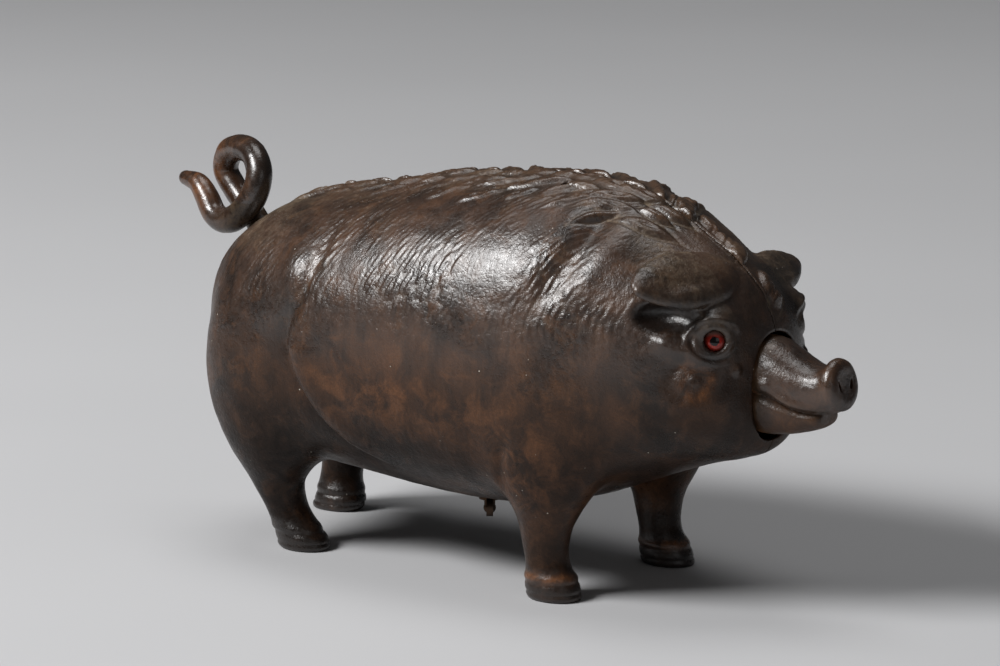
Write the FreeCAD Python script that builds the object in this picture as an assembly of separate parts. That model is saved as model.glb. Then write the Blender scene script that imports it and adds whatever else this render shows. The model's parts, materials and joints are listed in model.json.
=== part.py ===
"""Clockwork counter bell cast as a standing pig.

Two hollow cast halves meet along the spine and hold a clockwork bell movement.  Pressing the snout
or the tail rocks a lever, pulls the link rod forward and turns the detent off the star wheel, so the
hammer is free to ring the bell.  The mainspring is wound by a wing key under the belly.

Frame: +X to the snout, +Y to the pig's left, +Z up.  The soles stand on z = 0.  All sizes in mm.
"""
import FreeCAD, Part
import math
import os
from FreeCAD import Vector

# ---------------------------------------------------------------- driving dimensions
WALL = 3.2                      # thickness of the cast shell
SEAM_GAP = 0.2                  # gap between the two halves
ROUNDNESS = 2.25                # exponent of the body's rounded cross-sections
SECTION_POINTS = 24             # points round one cross-section

# Body and head, from rump to face: (x, top, bottom, half width, height of the widest place)
BODY = [
    (-89.0, 68.5, 55.0, 7.0, 61.0),
    (-87.0, 75.6, 46.0, 14.8, 60.5),
    (-83.0, 81.2, 38.5, 22.2, 59.5),
    (-76.0, 86.8, 31.0, 29.6, 58.5),
    (-65.0, 92.4, 26.5, 36.2, 57.5),
    (-50.0, 96.3, 23.0, 41.0, 57.5),
    (-32.0, 99.5, 20.8, 42.8, 58.0),
    (-12.0, 103.6, 19.4, 43.3, 59.0),
    (8.0, 105.8, 19.0, 42.8, 60.0),
    (25.0, 107.2, 20.6, 41.2, 61.0),
    (38.0, 106.6, 24.2, 38.8, 61.5),
    (49.0, 104.6, 28.4, 35.6, 62.0),
    (59.0, 100.4, 32.4, 32.2, 62.0),
    (68.0, 95.4, 35.8, 29.0, 61.5),
    (76.0, 90.4, 38.4, 25.6, 61.0),
    (82.5, 84.8, 40.2, 21.4, 60.5),
    (87.0, 79.0, 42.4, 17.0, 60.0),
    (89.6, 74.6, 46.0, 12.0, 60.0),
]
# Snout and jaw, from inside the head to the nose: same columns
SNOUT = [
    (85.0, 72.4, 47.4, 8.9, 60.0),
    (89.0, 72.4, 47.2, 9.4, 60.0),
    (96.0, 70.6, 48.0, 8.6, 59.5),
    (102.0, 68.4, 49.6, 7.4, 59.0),
    (106.5, 67.4, 52.4, 6.2, 60.0),
]
NOSE = (106.0, 111.0, 62.3, 6.6, 6.9)     # rear x, front x, centre height, half width, half height
SNOUT_CLEARANCE = 1.0                     # room round the snout in the face opening
SNOUT_DIP = 0.8                           # more room below, where the pressed jaw goes down

# Legs, from the sole up: (x, y, z, half length, half width)
FRONT_LEG = [
    (36.6, 23.8, 0.0, 7.6, 5.8),
    (36.0, 23.8, 3.5, 7.6, 6.2),
    (34.6, 23.8, 8.5, 5.9, 5.7),
    (34.0, 24.0, 16.0, 6.6, 6.2),
    (35.0, 24.2, 25.0, 9.6, 8.4),
    (35.0, 24.0, 40.0, 15.0, 10.0),
]
HIND_LEG = [
    (-49.6, 22.8, 0.0, 7.6, 5.6),
    (-50.6, 22.9, 3.5, 7.8, 6.0),
    (-54.4, 23.4, 9.0, 6.0, 5.6),
    (-57.4, 24.2, 17.0, 7.2, 6.6),
    (-56.8, 25.0, 27.0, 11.4, 9.4),
    (-57.0, 25.4, 42.0, 15.0, 11.0),
]
LEFT_FRONT_SHIFT = (1.6, 0.4)             # the left feet stand a little out of step, in x and y
LEFT_HIND_SHIFT = (-22.6, -4.8)

EAR_CENTRE = Vector(74.4, 20.2, 88.0)
LEFT_EAR_DROP = 3.6                       # the left ear hangs this much lower
EAR_AXES = (17.0, 8.8, 3.4)               # half length, half width, half thickness
LEFT_EAR_HALF_WIDTH = 6.4                 # the left ear is the narrower one
EAR_DIRECTION = Vector(-0.225, 0.974, -0.015)
EAR_FACE = Vector(0.652, 0.16, 0.741)     # the way the ear's broad face looks

EYE_CENTRE = Vector(82.4, 17.6, 73.0)
EYE_NORMAL = Vector(0.56, 0.80, 0.20)
EYE_R = 2.8
EYE_DOME_R = 3.6
EYE_DEEP = 3.6                            # length of glass behind the lids

# Clockwork
MOVEMENT_X = -3.5                         # the barrel, key and bell share this upright axis
LOWER_PLATE_Z = 32.0
UPPER_PLATE_Z = 52.0
PLATE_T = 1.5
PLATE_X = (-36.0, 35.0)
PLATE_HALF = 21.0
PILLARS = [(-31.0, 16.0), (-31.0, -16.0), (31.0, 17.5), (31.0, -16.0)]
CASE_SCREWS = [(-29.0, 9.0), (-29.0, -9.0), (29.0, 9.0), (29.0, -9.0)]
BELLY_HOLE_R = 4.2

ARBOR_R = 1.5
RUNNING = 0.05                            # radial clearance of a turning fit
BARREL_R = 16.0
BARREL_Z = (35.0, 45.0)
GREAT_TEETH, GREAT_MODULE = 60, 0.6
PINION_TEETH = 10
SECOND_TEETH, SECOND_MODULE = 48, 0.5
STAR_PINION_TEETH = 8
STAR_TEETH, STAR_R = 12, 8.0
MESH_PLAY = 0.06                          # extra centre distance of a meshed pair
SECOND_AT = (MOVEMENT_X + 0.5 * GREAT_MODULE * (GREAT_TEETH + PINION_TEETH) + MESH_PLAY, 0.0)
STAR_AT = (SECOND_AT[0], 0.5 * SECOND_MODULE * (SECOND_TEETH + STAR_PINION_TEETH) + MESH_PLAY)
HAMMER_AT = (STAR_AT[0] - 9.9, STAR_AT[1] + 3.6)
RATCHET_TEETH, RATCHET_R = 24, 7.0

BELL_R = 29.0                             # outside radius at the mouth
BELL_Z = (56.6, 70.6)                     # mouth and crown
BELL_T = 1.4

# Levers
SNOUT_PIVOT = (75.0, 62.0)                # x, z of the pin the snout rocks on
TAIL_PIVOT = (-73.0, 80.0)
FRONT_LINK = (73.0, 82.0)                 # x, z of the link rod's front pin
REAR_LINK = (-73.0, 69.0)
PIN_R = 1.5
LINK_PIN_R = 1.0
LINK_PLAY = 0.35                          # slack of the link rod's eyes on their pins
LINK_Y = 8.0                              # the rod runs this far left of the spine
PIN_BOSS_Y = 12.5                         # the pivot pins' bosses start this far from the spine
DETENT_AT = (28.5, -6.0)
FINGER_X = 28.5                           # the rod's trip finger hangs here
DETENT_TOE = (STAR_AT[0] + 7.4, STAR_AT[1] - 5.2)
SPRING_AT = (-58.0, 4.4)                  # x, y of the upright return spring
SPRING_Z = (62.9, 75.4)

# Centre line of the curled tail, and its radius at the root, half way round the loop, and at the tip
TAIL = [
    (-79.5, 0.0, 78.4), (-84.0, 0.1, 81.6), (-89.0, 1.0, 85.8), (-95.2, 2.4, 90.4),
    (-99.2, 2.8, 95.6), (-96.8, 1.8, 100.8), (-90.6, -0.4, 103.2), (-83.6, -3.2, 102.2),
    (-79.6, -5.6, 97.8), (-80.4, -7.0, 91.6), (-84.6, -7.6, 86.4), (-90.2, -7.4, 83.6),
    (-95.2, -6.4, 84.8), (-98.9, -5.4, 88.8), (-103.2, -4.1, 92.3), (-108.88, -2.9, 93.1),
]
TAIL_R = (3.4, 3.7, 2.1)

JOINING_SCREWS = [(-58.0, 58.0), (45.0, 92.0), (53.0, 42.0)]     # x, z
X_AXIS, Y_AXIS, Z_AXIS = Vector(1, 0, 0), Vector(0, 1, 0), Vector(0, 0, 1)


# ---------------------------------------------------------------- helpers
def save(name, *solids):
    """Writes one node, made of one solid or several."""
    whole = solids[0] if len(solids) == 1 else Part.makeCompound(list(solids))
    whole.exportStep("parts/" + name + ".step")


def only_solid(shape):
    """The largest solid of a shape, without slivers."""
    return max(shape.Solids, key=lambda s: s.Volume)


def upright(radius, low, high, x=0.0, y=0.0):
    return Part.makeCylinder(radius, high - low, Vector(x, y, low), Z_AXIS)


def across(radius, y_low, y_high, x, z):
    return Part.makeCylinder(radius, y_high - y_low, Vector(x, y_low, z), Y_AXIS)


def along(radius, x_low, x_high, y, z):
    return Part.makeCylinder(radius, x_high - x_low, Vector(x_low, y, z), X_AXIS)


def between(radius, start, end):
    return Part.makeCylinder(radius, (end - start).Length, start, end - start)


def block(x, y, z):
    """A box from three (low, high) pairs."""
    return Part.makeBox(x[1] - x[0], y[1] - y[0], z[1] - z[0], Vector(x[0], y[0], z[0]))


def mirrored(shape):
    """The same shape on the other side of the spine."""
    return shape.mirror(Vector(0, 0, 0), Y_AXIS)


def extruded(points, z_low, height):
    """A flat outline of (x, y) points, pulled up from z_low."""
    corners = [Vector(x, y, z_low) for x, y in points]
    return Part.Face(Part.makePolygon(corners + corners[:1])).extrude(Vector(0, 0, height))


def closed_curve(points):
    curve = Part.BSplineCurve()
    curve.interpolate(points, PeriodicFlag=True)
    return Part.Wire(curve.toShape())


def rounded_section(x, top, bottom, half, middle, inset=0.0):
    """An upright cross-section with rounded corners, taller above or below its widest place."""
    points = []
    for k in range(SECTION_POINTS):
        angle = 2 * math.pi * k / SECTION_POINTS
        c, s = math.cos(angle), math.sin(angle)
        reach = (top - inset - middle) if s > 0 else (middle - bottom - inset)
        y = math.copysign(abs(c) ** (2 / ROUNDNESS), c) * (half - inset)
        z = math.copysign(abs(s) ** (2 / ROUNDNESS), s) * reach + middle
        points.append(Vector(x, y, z))
    return closed_curve(points)


def flat_ellipse(x, y, z, half_length, half_width):
    points = []
    for k in range(SECTION_POINTS):
        angle = 2 * math.pi * k / SECTION_POINTS
        points.append(Vector(x + half_length * math.cos(angle), y + half_width * math.sin(angle), z))
    return closed_curve(points)


def loft(wires):
    return Part.makeLoft(wires, True, False)


def frame_for(normal, along_hint):
    """A rotation that takes Z to the normal and X as near as possible to the hint."""
    z = Vector(normal).normalize()
    y = z.cross(along_hint).normalize()
    x = y.cross(z)
    return FreeCAD.Rotation(x, y, z, "ZXY")


# ---------------------------------------------------------------- the cast body
def body_solid(inset=0.0, first=0, last=None):
    rows = BODY[first:last]
    return loft([rounded_section(*row, inset=inset) for row in rows])


def leg(rows, side, shift=(0.0, 0.0)):
    """One leg.  The shift moves the foot fully and fades out towards the body."""
    top = rows[-1][2]
    wires = []
    for x, y, z, half_length, half_width in rows:
        fade = 1 - z / top
        wires.append(flat_ellipse(x + shift[0] * fade, side * (y + shift[1] * fade), z,
                                  half_length, half_width))
    return loft(wires)


def ear(side):
    ball = Part.makeSphere(1.0)
    half_length, half_width, half_thick = EAR_AXES
    stretch = FreeCAD.Matrix()
    stretch.scale(half_length, LEFT_EAR_HALF_WIDTH if side > 0 else half_width, half_thick)
    leaf = ball.transformGeometry(stretch)
    turn = frame_for(EAR_FACE, EAR_DIRECTION)
    drop = LEFT_EAR_DROP if side > 0 else 0.0
    leaf.Placement = FreeCAD.Placement(EAR_CENTRE - Z_AXIS * drop, turn)
    return leaf if side > 0 else mirrored(leaf)


def eye_tool(radius, back, front):
    """A cylinder on the left eye's axis, from back to front of its centre."""
    n = Vector(EYE_NORMAL).normalize()
    return between(radius, EYE_CENTRE + n * back, EYE_CENTRE + n * front)


def face_opening():
    """The room that the snout passes through and rocks in."""
    rows = []
    for x in (76.0, 82.0, 88.0, 96.0):
        rows.append(rounded_section(x, 72.4 + SNOUT_CLEARANCE, 47.2 - SNOUT_CLEARANCE - SNOUT_DIP,
                                    9.4 + SNOUT_CLEARANCE, 60.0))
    return loft(rows)


def tail_slot():
    """An upright slot through the rump for the tail's root."""
    x = (-96.0, -78.0)
    low, high, r = 80.0, 82.6, 4.2
    slot = along(r, *x, 0, low).fuse([along(r, *x, 0, high), block(x, (-r, r), (low, high))])
    return slot


def bosses(side, outer):
    """Posts inside one half: for the joining screws, the two pivot pins and the movement."""
    y = sorted((side * SEAM_GAP / 2, side * 60.0))
    posts = [across(4.6, *y, x, z) for x, z in JOINING_SCREWS]
    for x, z in (SNOUT_PIVOT, TAIL_PIVOT):
        y_pin = sorted((side * PIN_BOSS_Y, side * 60.0))
        posts.append(across(4.0, *y_pin, x, z))
    for x, y_at in CASE_SCREWS:
        if y_at * side > 0:
            posts.append(upright(4.2, 0.0, LOWER_PLATE_Z, x, y_at))
    return [post.common(outer) for post in posts]


def body_half(side):
    """One cast half, side +1 on the pig's left and -1 on its right."""
    outer = body_solid()
    inner = body_solid(inset=WALL, first=1, last=-1)
    front = leg(FRONT_LEG, side, LEFT_FRONT_SHIFT if side > 0 else (0, 0))
    hind = leg(HIND_LEG, side, LEFT_HIND_SHIFT if side > 0 else (0, 0))
    half = outer.fuse([front, hind, ear(side)]).cut(inner)
    half = half.fuse(bosses(side, outer))
    y = sorted((side * SEAM_GAP / 2, side * 80.0))
    half = half.common(block((-100, 100), y, (-1, 130)))

    eye_bore = eye_tool(EYE_R + RUNNING, -EYE_DEEP, 12.0)
    cuts = [face_opening(), tail_slot(), eye_bore if side > 0 else mirrored(eye_bore),
            upright(BELLY_HOLE_R, 0.0, 30.0, MOVEMENT_X, 0)]
    for x, z in JOINING_SCREWS:
        if side > 0:
            cuts += [across(1.7, -1, 70, x, z), across(3.2, 22.0, 70, x, z)]
        else:
            cuts.append(across(1.5, -14.0, 1, x, z))
    for x, z in (SNOUT_PIVOT, TAIL_PIVOT):
        cuts.append(across(PIN_R + 0.02, *sorted((side * 10.0, side * 16.0)), x, z))
    for x, y_at in CASE_SCREWS:
        cuts += [upright(1.4, 0, 40, x, y_at), upright(2.7, 0, 25.0, x, y_at)]
    if side > 0:
        cuts.append(upright(0.92, 60.2, 70.0, *SPRING_AT))
    return only_solid(half.cut(cuts))


def glass_eye(side):
    """A short glass rod with a domed front."""
    n = Vector(EYE_NORMAL).normalize()
    front = 0.4
    stem = eye_tool(EYE_R, -EYE_DEEP, front)
    centre = EYE_CENTRE + n * (front - math.sqrt(EYE_DOME_R ** 2 - EYE_R ** 2))
    dome = Part.makeSphere(EYE_DOME_R, centre).common(eye_tool(EYE_R, front - 0.1, 6.0))
    eye = only_solid(stem.fuse(dome).removeSplitter())
    return eye if side > 0 else mirrored(eye)


def screw(start, direction, shank_r, length, head_r, head_h):
    """A slotted screw.  It starts under its head and points along the direction."""
    d = Vector(direction).normalize()
    head = between(head_r, start - d * head_h, start)
    shank = between(shank_r, start - d * 0.1, start + d * length)
    slot_w, slot_deep = head_r * 0.3, head_h * 0.45
    slot = Part.makeBox(2.4 * head_r, slot_w, slot_deep * 2, Vector(-1.2 * head_r, -slot_w / 2, -slot_deep))
    hint = X_AXIS if abs(d.x) < 0.9 else Y_AXIS
    slot.Placement = FreeCAD.Placement(start - d * head_h, frame_for(d, hint))
    return only_solid(head.fuse(shank).cut(slot))


# ---------------------------------------------------------------- snout, tail and link
def snout():
    """Cast snout and jaw, with a tongue that its lever is riveted to."""
    muzzle = loft([rounded_section(*row) for row in SNOUT])
    rear, tip, height, half, tall = NOSE
    disc_rows = []
    for x, grow in ((rear, 0.86), (rear + 1.6, 1.0), (tip - 1.2, 1.0), (tip, 0.86)):
        disc_rows.append(rounded_section(x, height + tall * grow, height - tall * grow, half * grow, height))
    tongue = block((79.2, 86.0), (-2.2, 2.2), (56.6, 67.4))
    return only_solid(muzzle.fuse([loft(disc_rows), tongue]))


def lever_plate(points, y_low, thick):
    """A flat lever cut from strip, standing in an upright plane.  Points are (x, z)."""
    corners = [Vector(x, y_low, z) for x, z in points]
    return Part.Face(Part.makePolygon(corners + corners[:1])).extrude(Vector(0, thick, 0))


def capsule_plate(a, b, radius, y_low, thick):
    """A strip with round ends between two (x, z) points."""
    dx, dz = b[0] - a[0], b[1] - a[1]
    size = math.hypot(dx, dz)
    nx, nz = -dz / size * radius, dx / size * radius
    web = lever_plate([(a[0] + nx, a[1] + nz), (b[0] + nx, b[1] + nz),
                       (b[0] - nx, b[1] - nz), (a[0] - nx, a[1] - nz)], y_low, thick)
    ends = [across(radius, y_low, y_low + thick, *p) for p in (a, b)]
    return web.fuse(ends)


SNOUT_LEVER_Y = (2.2, 4.2)
TAIL_LEVER_Y = (3.4, 5.4)
RIVETS = [(80.6, 59.4), (81.4, 64.7)]


def snout_lever():
    """Steel strip: riveted to the snout's tongue, pivoted on the pin, reaching up to the link rod."""
    y, thick = SNOUT_LEVER_Y[0], SNOUT_LEVER_Y[1] - SNOUT_LEVER_Y[0]
    arm = capsule_plate(SNOUT_PIVOT, FRONT_LINK, 3.0, y, thick)
    foot = capsule_plate(SNOUT_PIVOT, (80.1, SNOUT_PIVOT[1]), 4.4, y, thick)
    hub = across(3.6, 0.6 - PIN_BOSS_Y, PIN_BOSS_Y - 0.6, *SNOUT_PIVOT)
    plate = arm.fuse([foot, hub])
    holes = [across(PIN_R + RUNNING, -14, 14, *SNOUT_PIVOT), across(LINK_PIN_R, 0, 10, *FRONT_LINK)]
    holes += [across(0.9, 0, 10, *p) for p in RIVETS]
    return only_solid(plate.cut(holes))


def snout_tongue_holes(shape):
    """Rivet holes in the tongue, and room for the hub."""
    holes = [across(0.9, -4, 4, *p) for p in RIVETS]
    return only_solid(shape.cut(holes))


def rivets():
    made = []
    for x, z in RIVETS:
        shank = across(0.9, -2.2, SNOUT_LEVER_Y[1], x, z)
        heads = [across(1.6, -3.0, -2.2, x, z), across(1.6, SNOUT_LEVER_Y[1], SNOUT_LEVER_Y[1] + 0.8, x, z)]
        made.append(only_solid(shank.fuse(heads).removeSplitter()))
    return made


def tail():
    """The curl: a round bar that tapers along its centre line, with a stud that enters the rump."""
    curve = Part.BSplineCurve()
    curve.interpolate([Vector(*point) for point in TAIL])
    first, last = curve.FirstParameter, curve.LastParameter
    sections, count, side = [], 30, Y_AXIS
    for k in range(count + 1):
        u = first + (last - first) * k / count
        centre, tangent = curve.value(u), curve.tangent(u)[0]
        side = (side - tangent * side.dot(tangent)).normalize()
        share = 2 * k / count
        if share < 1:
            radius = TAIL_R[0] + (TAIL_R[1] - TAIL_R[0]) * share
        else:
            radius = TAIL_R[1] + (TAIL_R[2] - TAIL_R[1]) * (share - 1) ** 4
        ring = [FreeCAD.Rotation(tangent, 30.0 * j).multVec(side) * radius + centre for j in range(12)]
        sections.append(closed_curve(ring))
    tip = Part.makeSphere(TAIL_R[-1] - 0.01, Vector(*TAIL[-1]))
    return only_solid(loft(sections).fuse([tip, tail_root(1.6, -0.5, 3.9)]))


def tail_root(radius, rear, front):
    """A cylinder on the axis of the tail's root, from rear to front of the root's end."""
    end, after = Vector(*TAIL[0]), Vector(*TAIL[1])
    forward = (end - after).normalize()
    return between(radius, end + forward * rear, end + forward * front)


def tail_lever():
    """Steel strip on the tail pin, with a lug for the tail's stud and a toe over the return spring."""
    y, thick = TAIL_LEVER_Y[0], TAIL_LEVER_Y[1] - TAIL_LEVER_Y[0]
    arm = capsule_plate(TAIL_PIVOT, REAR_LINK, 2.8, y, thick)
    hub = across(2.8, 0.6 - PIN_BOSS_Y, PIN_BOSS_Y - 0.6, *TAIL_PIVOT)
    lug = block((-79.0, -77.0), (-3.6, TAIL_LEVER_Y[1]), (73.8, 80.6))
    web = block((-78.0, -73.0), TAIL_LEVER_Y, (75.0, 80.6))
    toe = capsule_plate(TAIL_PIVOT, (SPRING_AT[0], 78.4), 2.4, y, thick)
    peg = upright(0.8, SPRING_Z[1] - 2.4, SPRING_Z[1] + 1.6, *SPRING_AT)
    plate = arm.fuse([hub, lug, web, toe, peg])
    holes = [across(PIN_R + RUNNING, -14, 14, *TAIL_PIVOT), across(LINK_PIN_R, 0, 12, *REAR_LINK),
             tail_root(1.6, -1.0, 5.0), tail_root(TAIL_R[0] + 0.15, -8.0, 0.25)]
    return only_solid(plate.cut(holes))


def link_rod():
    """Wire rod from lever to lever, with a flat eye at each end and the trip finger hanging from it."""
    y0, y1 = LINK_Y - 1.0, LINK_Y + 1.0
    (xa, za), (xb, zb) = REAR_LINK, FRONT_LINK
    slope = (zb - za) / (xb - xa)
    eyes = [across(3.0, y0, y1, *p) for p in (REAR_LINK, FRONT_LINK)]
    bar = between(1.2, Vector(xa + 2, LINK_Y, za + 2 * slope), Vector(xb - 2, LINK_Y, zb - 2 * slope))
    finger = upright(1.0, DETENT_Z + 0.2, za + slope * (FINGER_X - xa), FINGER_X, LINK_Y)
    rod = bar.fuse(eyes + [finger])
    return only_solid(rod.cut([across(LINK_PIN_R + LINK_PLAY, 0, 14, *p) for p in (REAR_LINK, FRONT_LINK)]))


def link_pin(at, y_low):
    """A small headed pin through a lever and the rod's eye."""
    pin = across(LINK_PIN_R, y_low, LINK_Y + 1.6, *at)
    heads = [across(1.9, LINK_Y + 1.3, LINK_Y + 2.1, *at), across(1.9, y_low - 0.8, y_low, *at)]
    return only_solid(pin.fuse(heads).removeSplitter())


def return_spring():
    """Upright pull spring.  It hooks over the post on the case and the peg on the tail lever's toe."""
    wire_r, turns, radius = 0.3, 9, 1.4
    low, high = SPRING_Z[0] + wire_r, SPRING_Z[1] - wire_r
    helix = Part.makeHelix((high - low) / turns, high - low, radius)
    ring = Part.Wire(Part.makeCircle(wire_r, Vector(radius, 0, 0), Y_AXIS))
    coil = Part.Wire(helix).makePipeShell([ring], True, True)
    coil.translate(Vector(*SPRING_AT, low))
    return coil


def spring_post():
    """Pin in the top of a boss, holding the spring's fixed end."""
    return upright(0.9, 60.2, SPRING_Z[0] + 3.0, *SPRING_AT)


# ---------------------------------------------------------------- clockwork
def gear_points(teeth, module, at, phase, addendum=0.9, dedendum=1.2):
    """Outline of a straight-flanked gear.  The phase, in teeth, puts a tooth on the +X side."""
    pitch_r = teeth * module / 2
    tip, root = pitch_r + addendum * module, pitch_r - dedendum * module
    step = 2 * math.pi / teeth
    points = []
    for k in range(teeth):
        middle = (k + phase) * step
        for r, part in ((root, -0.30), (pitch_r, -0.20), (tip, -0.09), (tip, 0.09), (pitch_r, 0.20), (root, 0.30)):
            angle = middle + part * step
            points.append((at[0] + r * math.cos(angle), at[1] + r * math.sin(angle)))
    return points


def gear(teeth, module, at, z_low, thick, bore, phase=0.0):
    wheel = extruded(gear_points(teeth, module, at, phase), z_low, thick)
    return wheel.cut(upright(bore, z_low - 1, z_low + thick + 1, *at)) if bore else wheel


def plate(z_low, holes):
    """A movement plate with rounded corners.  Holes are (x, y, radius)."""
    body = block(PLATE_X, (-PLATE_HALF, PLATE_HALF), (z_low, z_low + PLATE_T))
    upright_edges = [e for e in body.Edges if abs(e.tangentAt(e.FirstParameter).z) > 0.9]
    body = body.makeFillet(7.0, upright_edges)
    return only_solid(body.cut([upright(r, z_low - 1, z_low + PLATE_T + 1, x, y) for x, y, r in holes]))


PIVOT_R = 0.8
TOE_R = 0.7
DETENT_Z = 54.0
DETENT_SWING = 7.2                        # degrees, with the snout fully pressed
TRAIN = [SECOND_AT, STAR_AT, HAMMER_AT]


def lower_plate():
    holes = [(x, y, 1.5) for x, y in PILLARS] + [(x, y, 1.3) for x, y in CASE_SCREWS]
    holes += [(x, y, PIVOT_R + RUNNING) for x, y in TRAIN]
    holes += [(MOVEMENT_X, 0, ARBOR_R + RUNNING), (*CLICK_AT, 1.0), (*CLICK_SPRING_AT, 0.8)]
    return plate(LOWER_PLATE_Z, holes)


def upper_plate():
    holes = [(x, y, 1.1) for x, y in PILLARS]
    holes += [(x, y, PIVOT_R + RUNNING) for x, y in TRAIN[:2]]
    holes += [(*HAMMER_AT, 1.2 + RUNNING), (*DETENT_AT, 1.0)]
    body = plate(UPPER_PLATE_Z, holes)
    swing = FreeCAD.Placement(Vector(0, 0, 0), FreeCAD.Rotation(Z_AXIS, -DETENT_SWING / 2), Vector(*DETENT_AT, 0))
    slot = [upright(TOE_R + 0.5, UPPER_PLATE_Z - 1, UPPER_PLATE_Z + 3, *DETENT_TOE)]
    for _ in range(2):
        moved = slot[-1].copy()
        moved.Placement = swing.multiply(moved.Placement)
        slot.append(moved)
    bearing = upright(ARBOR_R + RUNNING, 50, UPPER_PLATE_Z + 0.8, MOVEMENT_X, 0)
    return only_solid(body.cut(slot + [bearing]))


def pillars():
    low, high = LOWER_PLATE_Z + PLATE_T, UPPER_PLATE_Z
    made = []
    for x, y in PILLARS:
        post = upright(2.5, low, high, x, y).fuse(upright(1.5, LOWER_PLATE_Z, low, x, y))
        made.append(only_solid(post.cut(upright(1.0, high - 6, high + 1, x, y))))
    return made


def pillar_screws():
    top = UPPER_PLATE_Z + PLATE_T
    return [screw(Vector(x, y, top), Vector(0, 0, -1), 0.98, 6.0, 2.2, 1.4) for x, y in PILLARS]


def case_screws():
    return [screw(Vector(x, y, 25.0), Z_AXIS, 1.28, 8.5, 2.5, 2.0) for x, y in CASE_SCREWS]


def joining_screws():
    made = []
    for x, z in JOINING_SCREWS:
        made.append(screw(Vector(x, 22.0, z), Vector(0, -1, 0), 1.48, 34.0, 3.1, 2.2))
    return made


def barrel():
    low, high = BARREL_Z
    drum = upright(BARREL_R, low, high, MOVEMENT_X, 0)
    drum = drum.cut(upright(BARREL_R - 1.2, low + 1.2, high + 1, MOVEMENT_X, 0))
    teeth = gear(GREAT_TEETH, GREAT_MODULE, (MOVEMENT_X, 0), low, 1.4, 0)
    bore = upright(ARBOR_R + RUNNING, low - 1, high, MOVEMENT_X, 0)
    whole = drum.fuse(teeth).cut(upright(BARREL_R - 1.2, low + 1.2, high + 1, MOVEMENT_X, 0))
    return only_solid(whole.cut(bore))


def barrel_cover():
    high = BARREL_Z[1]
    disc = upright(BARREL_R, high, high + 1.0, MOVEMENT_X, 0)
    return disc.cut(upright(ARBOR_R + RUNNING, high - 1, high + 2, MOVEMENT_X, 0))


HUB_R = 4.0


def mainspring():
    """A flat strip wound in a spiral between the barrel's wall and the arbor's hub."""
    low, height, strip, turns, count = BARREL_Z[0] + 1.8, 7.6, 0.55, 6.0, 120
    inner, outer = HUB_R + 0.3, BARREL_R - 1.2 - 0.2 - strip
    edges = []
    for offset in (0.0, strip):
        points = []
        for k in range(count + 1):
            t = k / count
            r = inner + (outer - inner) * t + offset
            angle = 2 * math.pi * turns * t
            points.append(Vector(MOVEMENT_X + r * math.cos(angle), r * math.sin(angle), low))
        curve = Part.BSplineCurve()
        curve.interpolate(points)
        edges.append((curve.toShape(), points))
    (inside, p), (outside, q) = edges
    rim = Part.Wire([inside, Part.makeLine(p[-1], q[-1]), outside, Part.makeLine(q[0], p[0])])
    return Part.Face(rim).extrude(Vector(0, 0, height))


RATCHET_Z = (29.4, 31.2)
KEY_TURN = -52.0                          # degrees; the wing's plane about the upright axis


def winding_arbor():
    """Stepped arbor: top pivot, hub for the mainspring, body through the plate, square end for the key."""
    x = MOVEMENT_X
    parts = [upright(ARBOR_R, 22.0, UPPER_PLATE_Z + 0.6, x, 0),
             upright(HUB_R, BARREL_Z[0] + 1.5, BARREL_Z[1] - 0.3, x, 0)]
    return only_solid(parts[0].fuse(parts[1:]))


def ratchet_wheel():
    """Saw-toothed wheel on the arbor, under the lower plate."""
    step = 2 * math.pi / RATCHET_TEETH
    points = []
    for k in range(RATCHET_TEETH):
        points.append((MOVEMENT_X + RATCHET_R * math.cos(k * step), RATCHET_R * math.sin(k * step)))
        a = (k + 0.08) * step
        points.append((MOVEMENT_X + (RATCHET_R - 1.1) * math.cos(a), (RATCHET_R - 1.1) * math.sin(a)))
    wheel = extruded(points, RATCHET_Z[0], RATCHET_Z[1] - RATCHET_Z[0])
    return only_solid(wheel.cut(upright(ARBOR_R, 28, 33, MOVEMENT_X, 0)))


def winding_key():
    """Wing key: a collar pushed on the arbor, a stem, and a flat wing with a ball at its foot."""
    x = MOVEMENT_X
    collar = upright(2.9, 16.2, 26.0, x, 0).cut(upright(ARBOR_R, 21.0, 30.0, x, 0))
    stem = upright(1.5, 13.4, 17.0, x, 0)
    ball = Part.makeSphere(1.7, Vector(x, 0, 13.7))
    lobes = []
    for sign in (-1, 1):
        disc = Part.makeCylinder(2.6, 1.8, Vector(sign * 4.2, 0.9, 14.9), Vector(0, -1, 0))
        arm = block(sorted((0, sign * 4.2)), (-0.9, 0.9), (13.7, 16.4))
        lobes.append(disc.fuse(arm))
    wing = lobes[0].fuse(lobes[1])
    wing.Placement = FreeCAD.Placement(Vector(x, 0, 0), FreeCAD.Rotation(Z_AXIS, KEY_TURN))
    return only_solid(collar.fuse([stem, ball, wing]).removeSplitter())


CLICK_AT = (MOVEMENT_X + 9.6, 8.0)
CLICK_SPRING_AT = (MOVEMENT_X - 2.5, 13.0)


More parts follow.
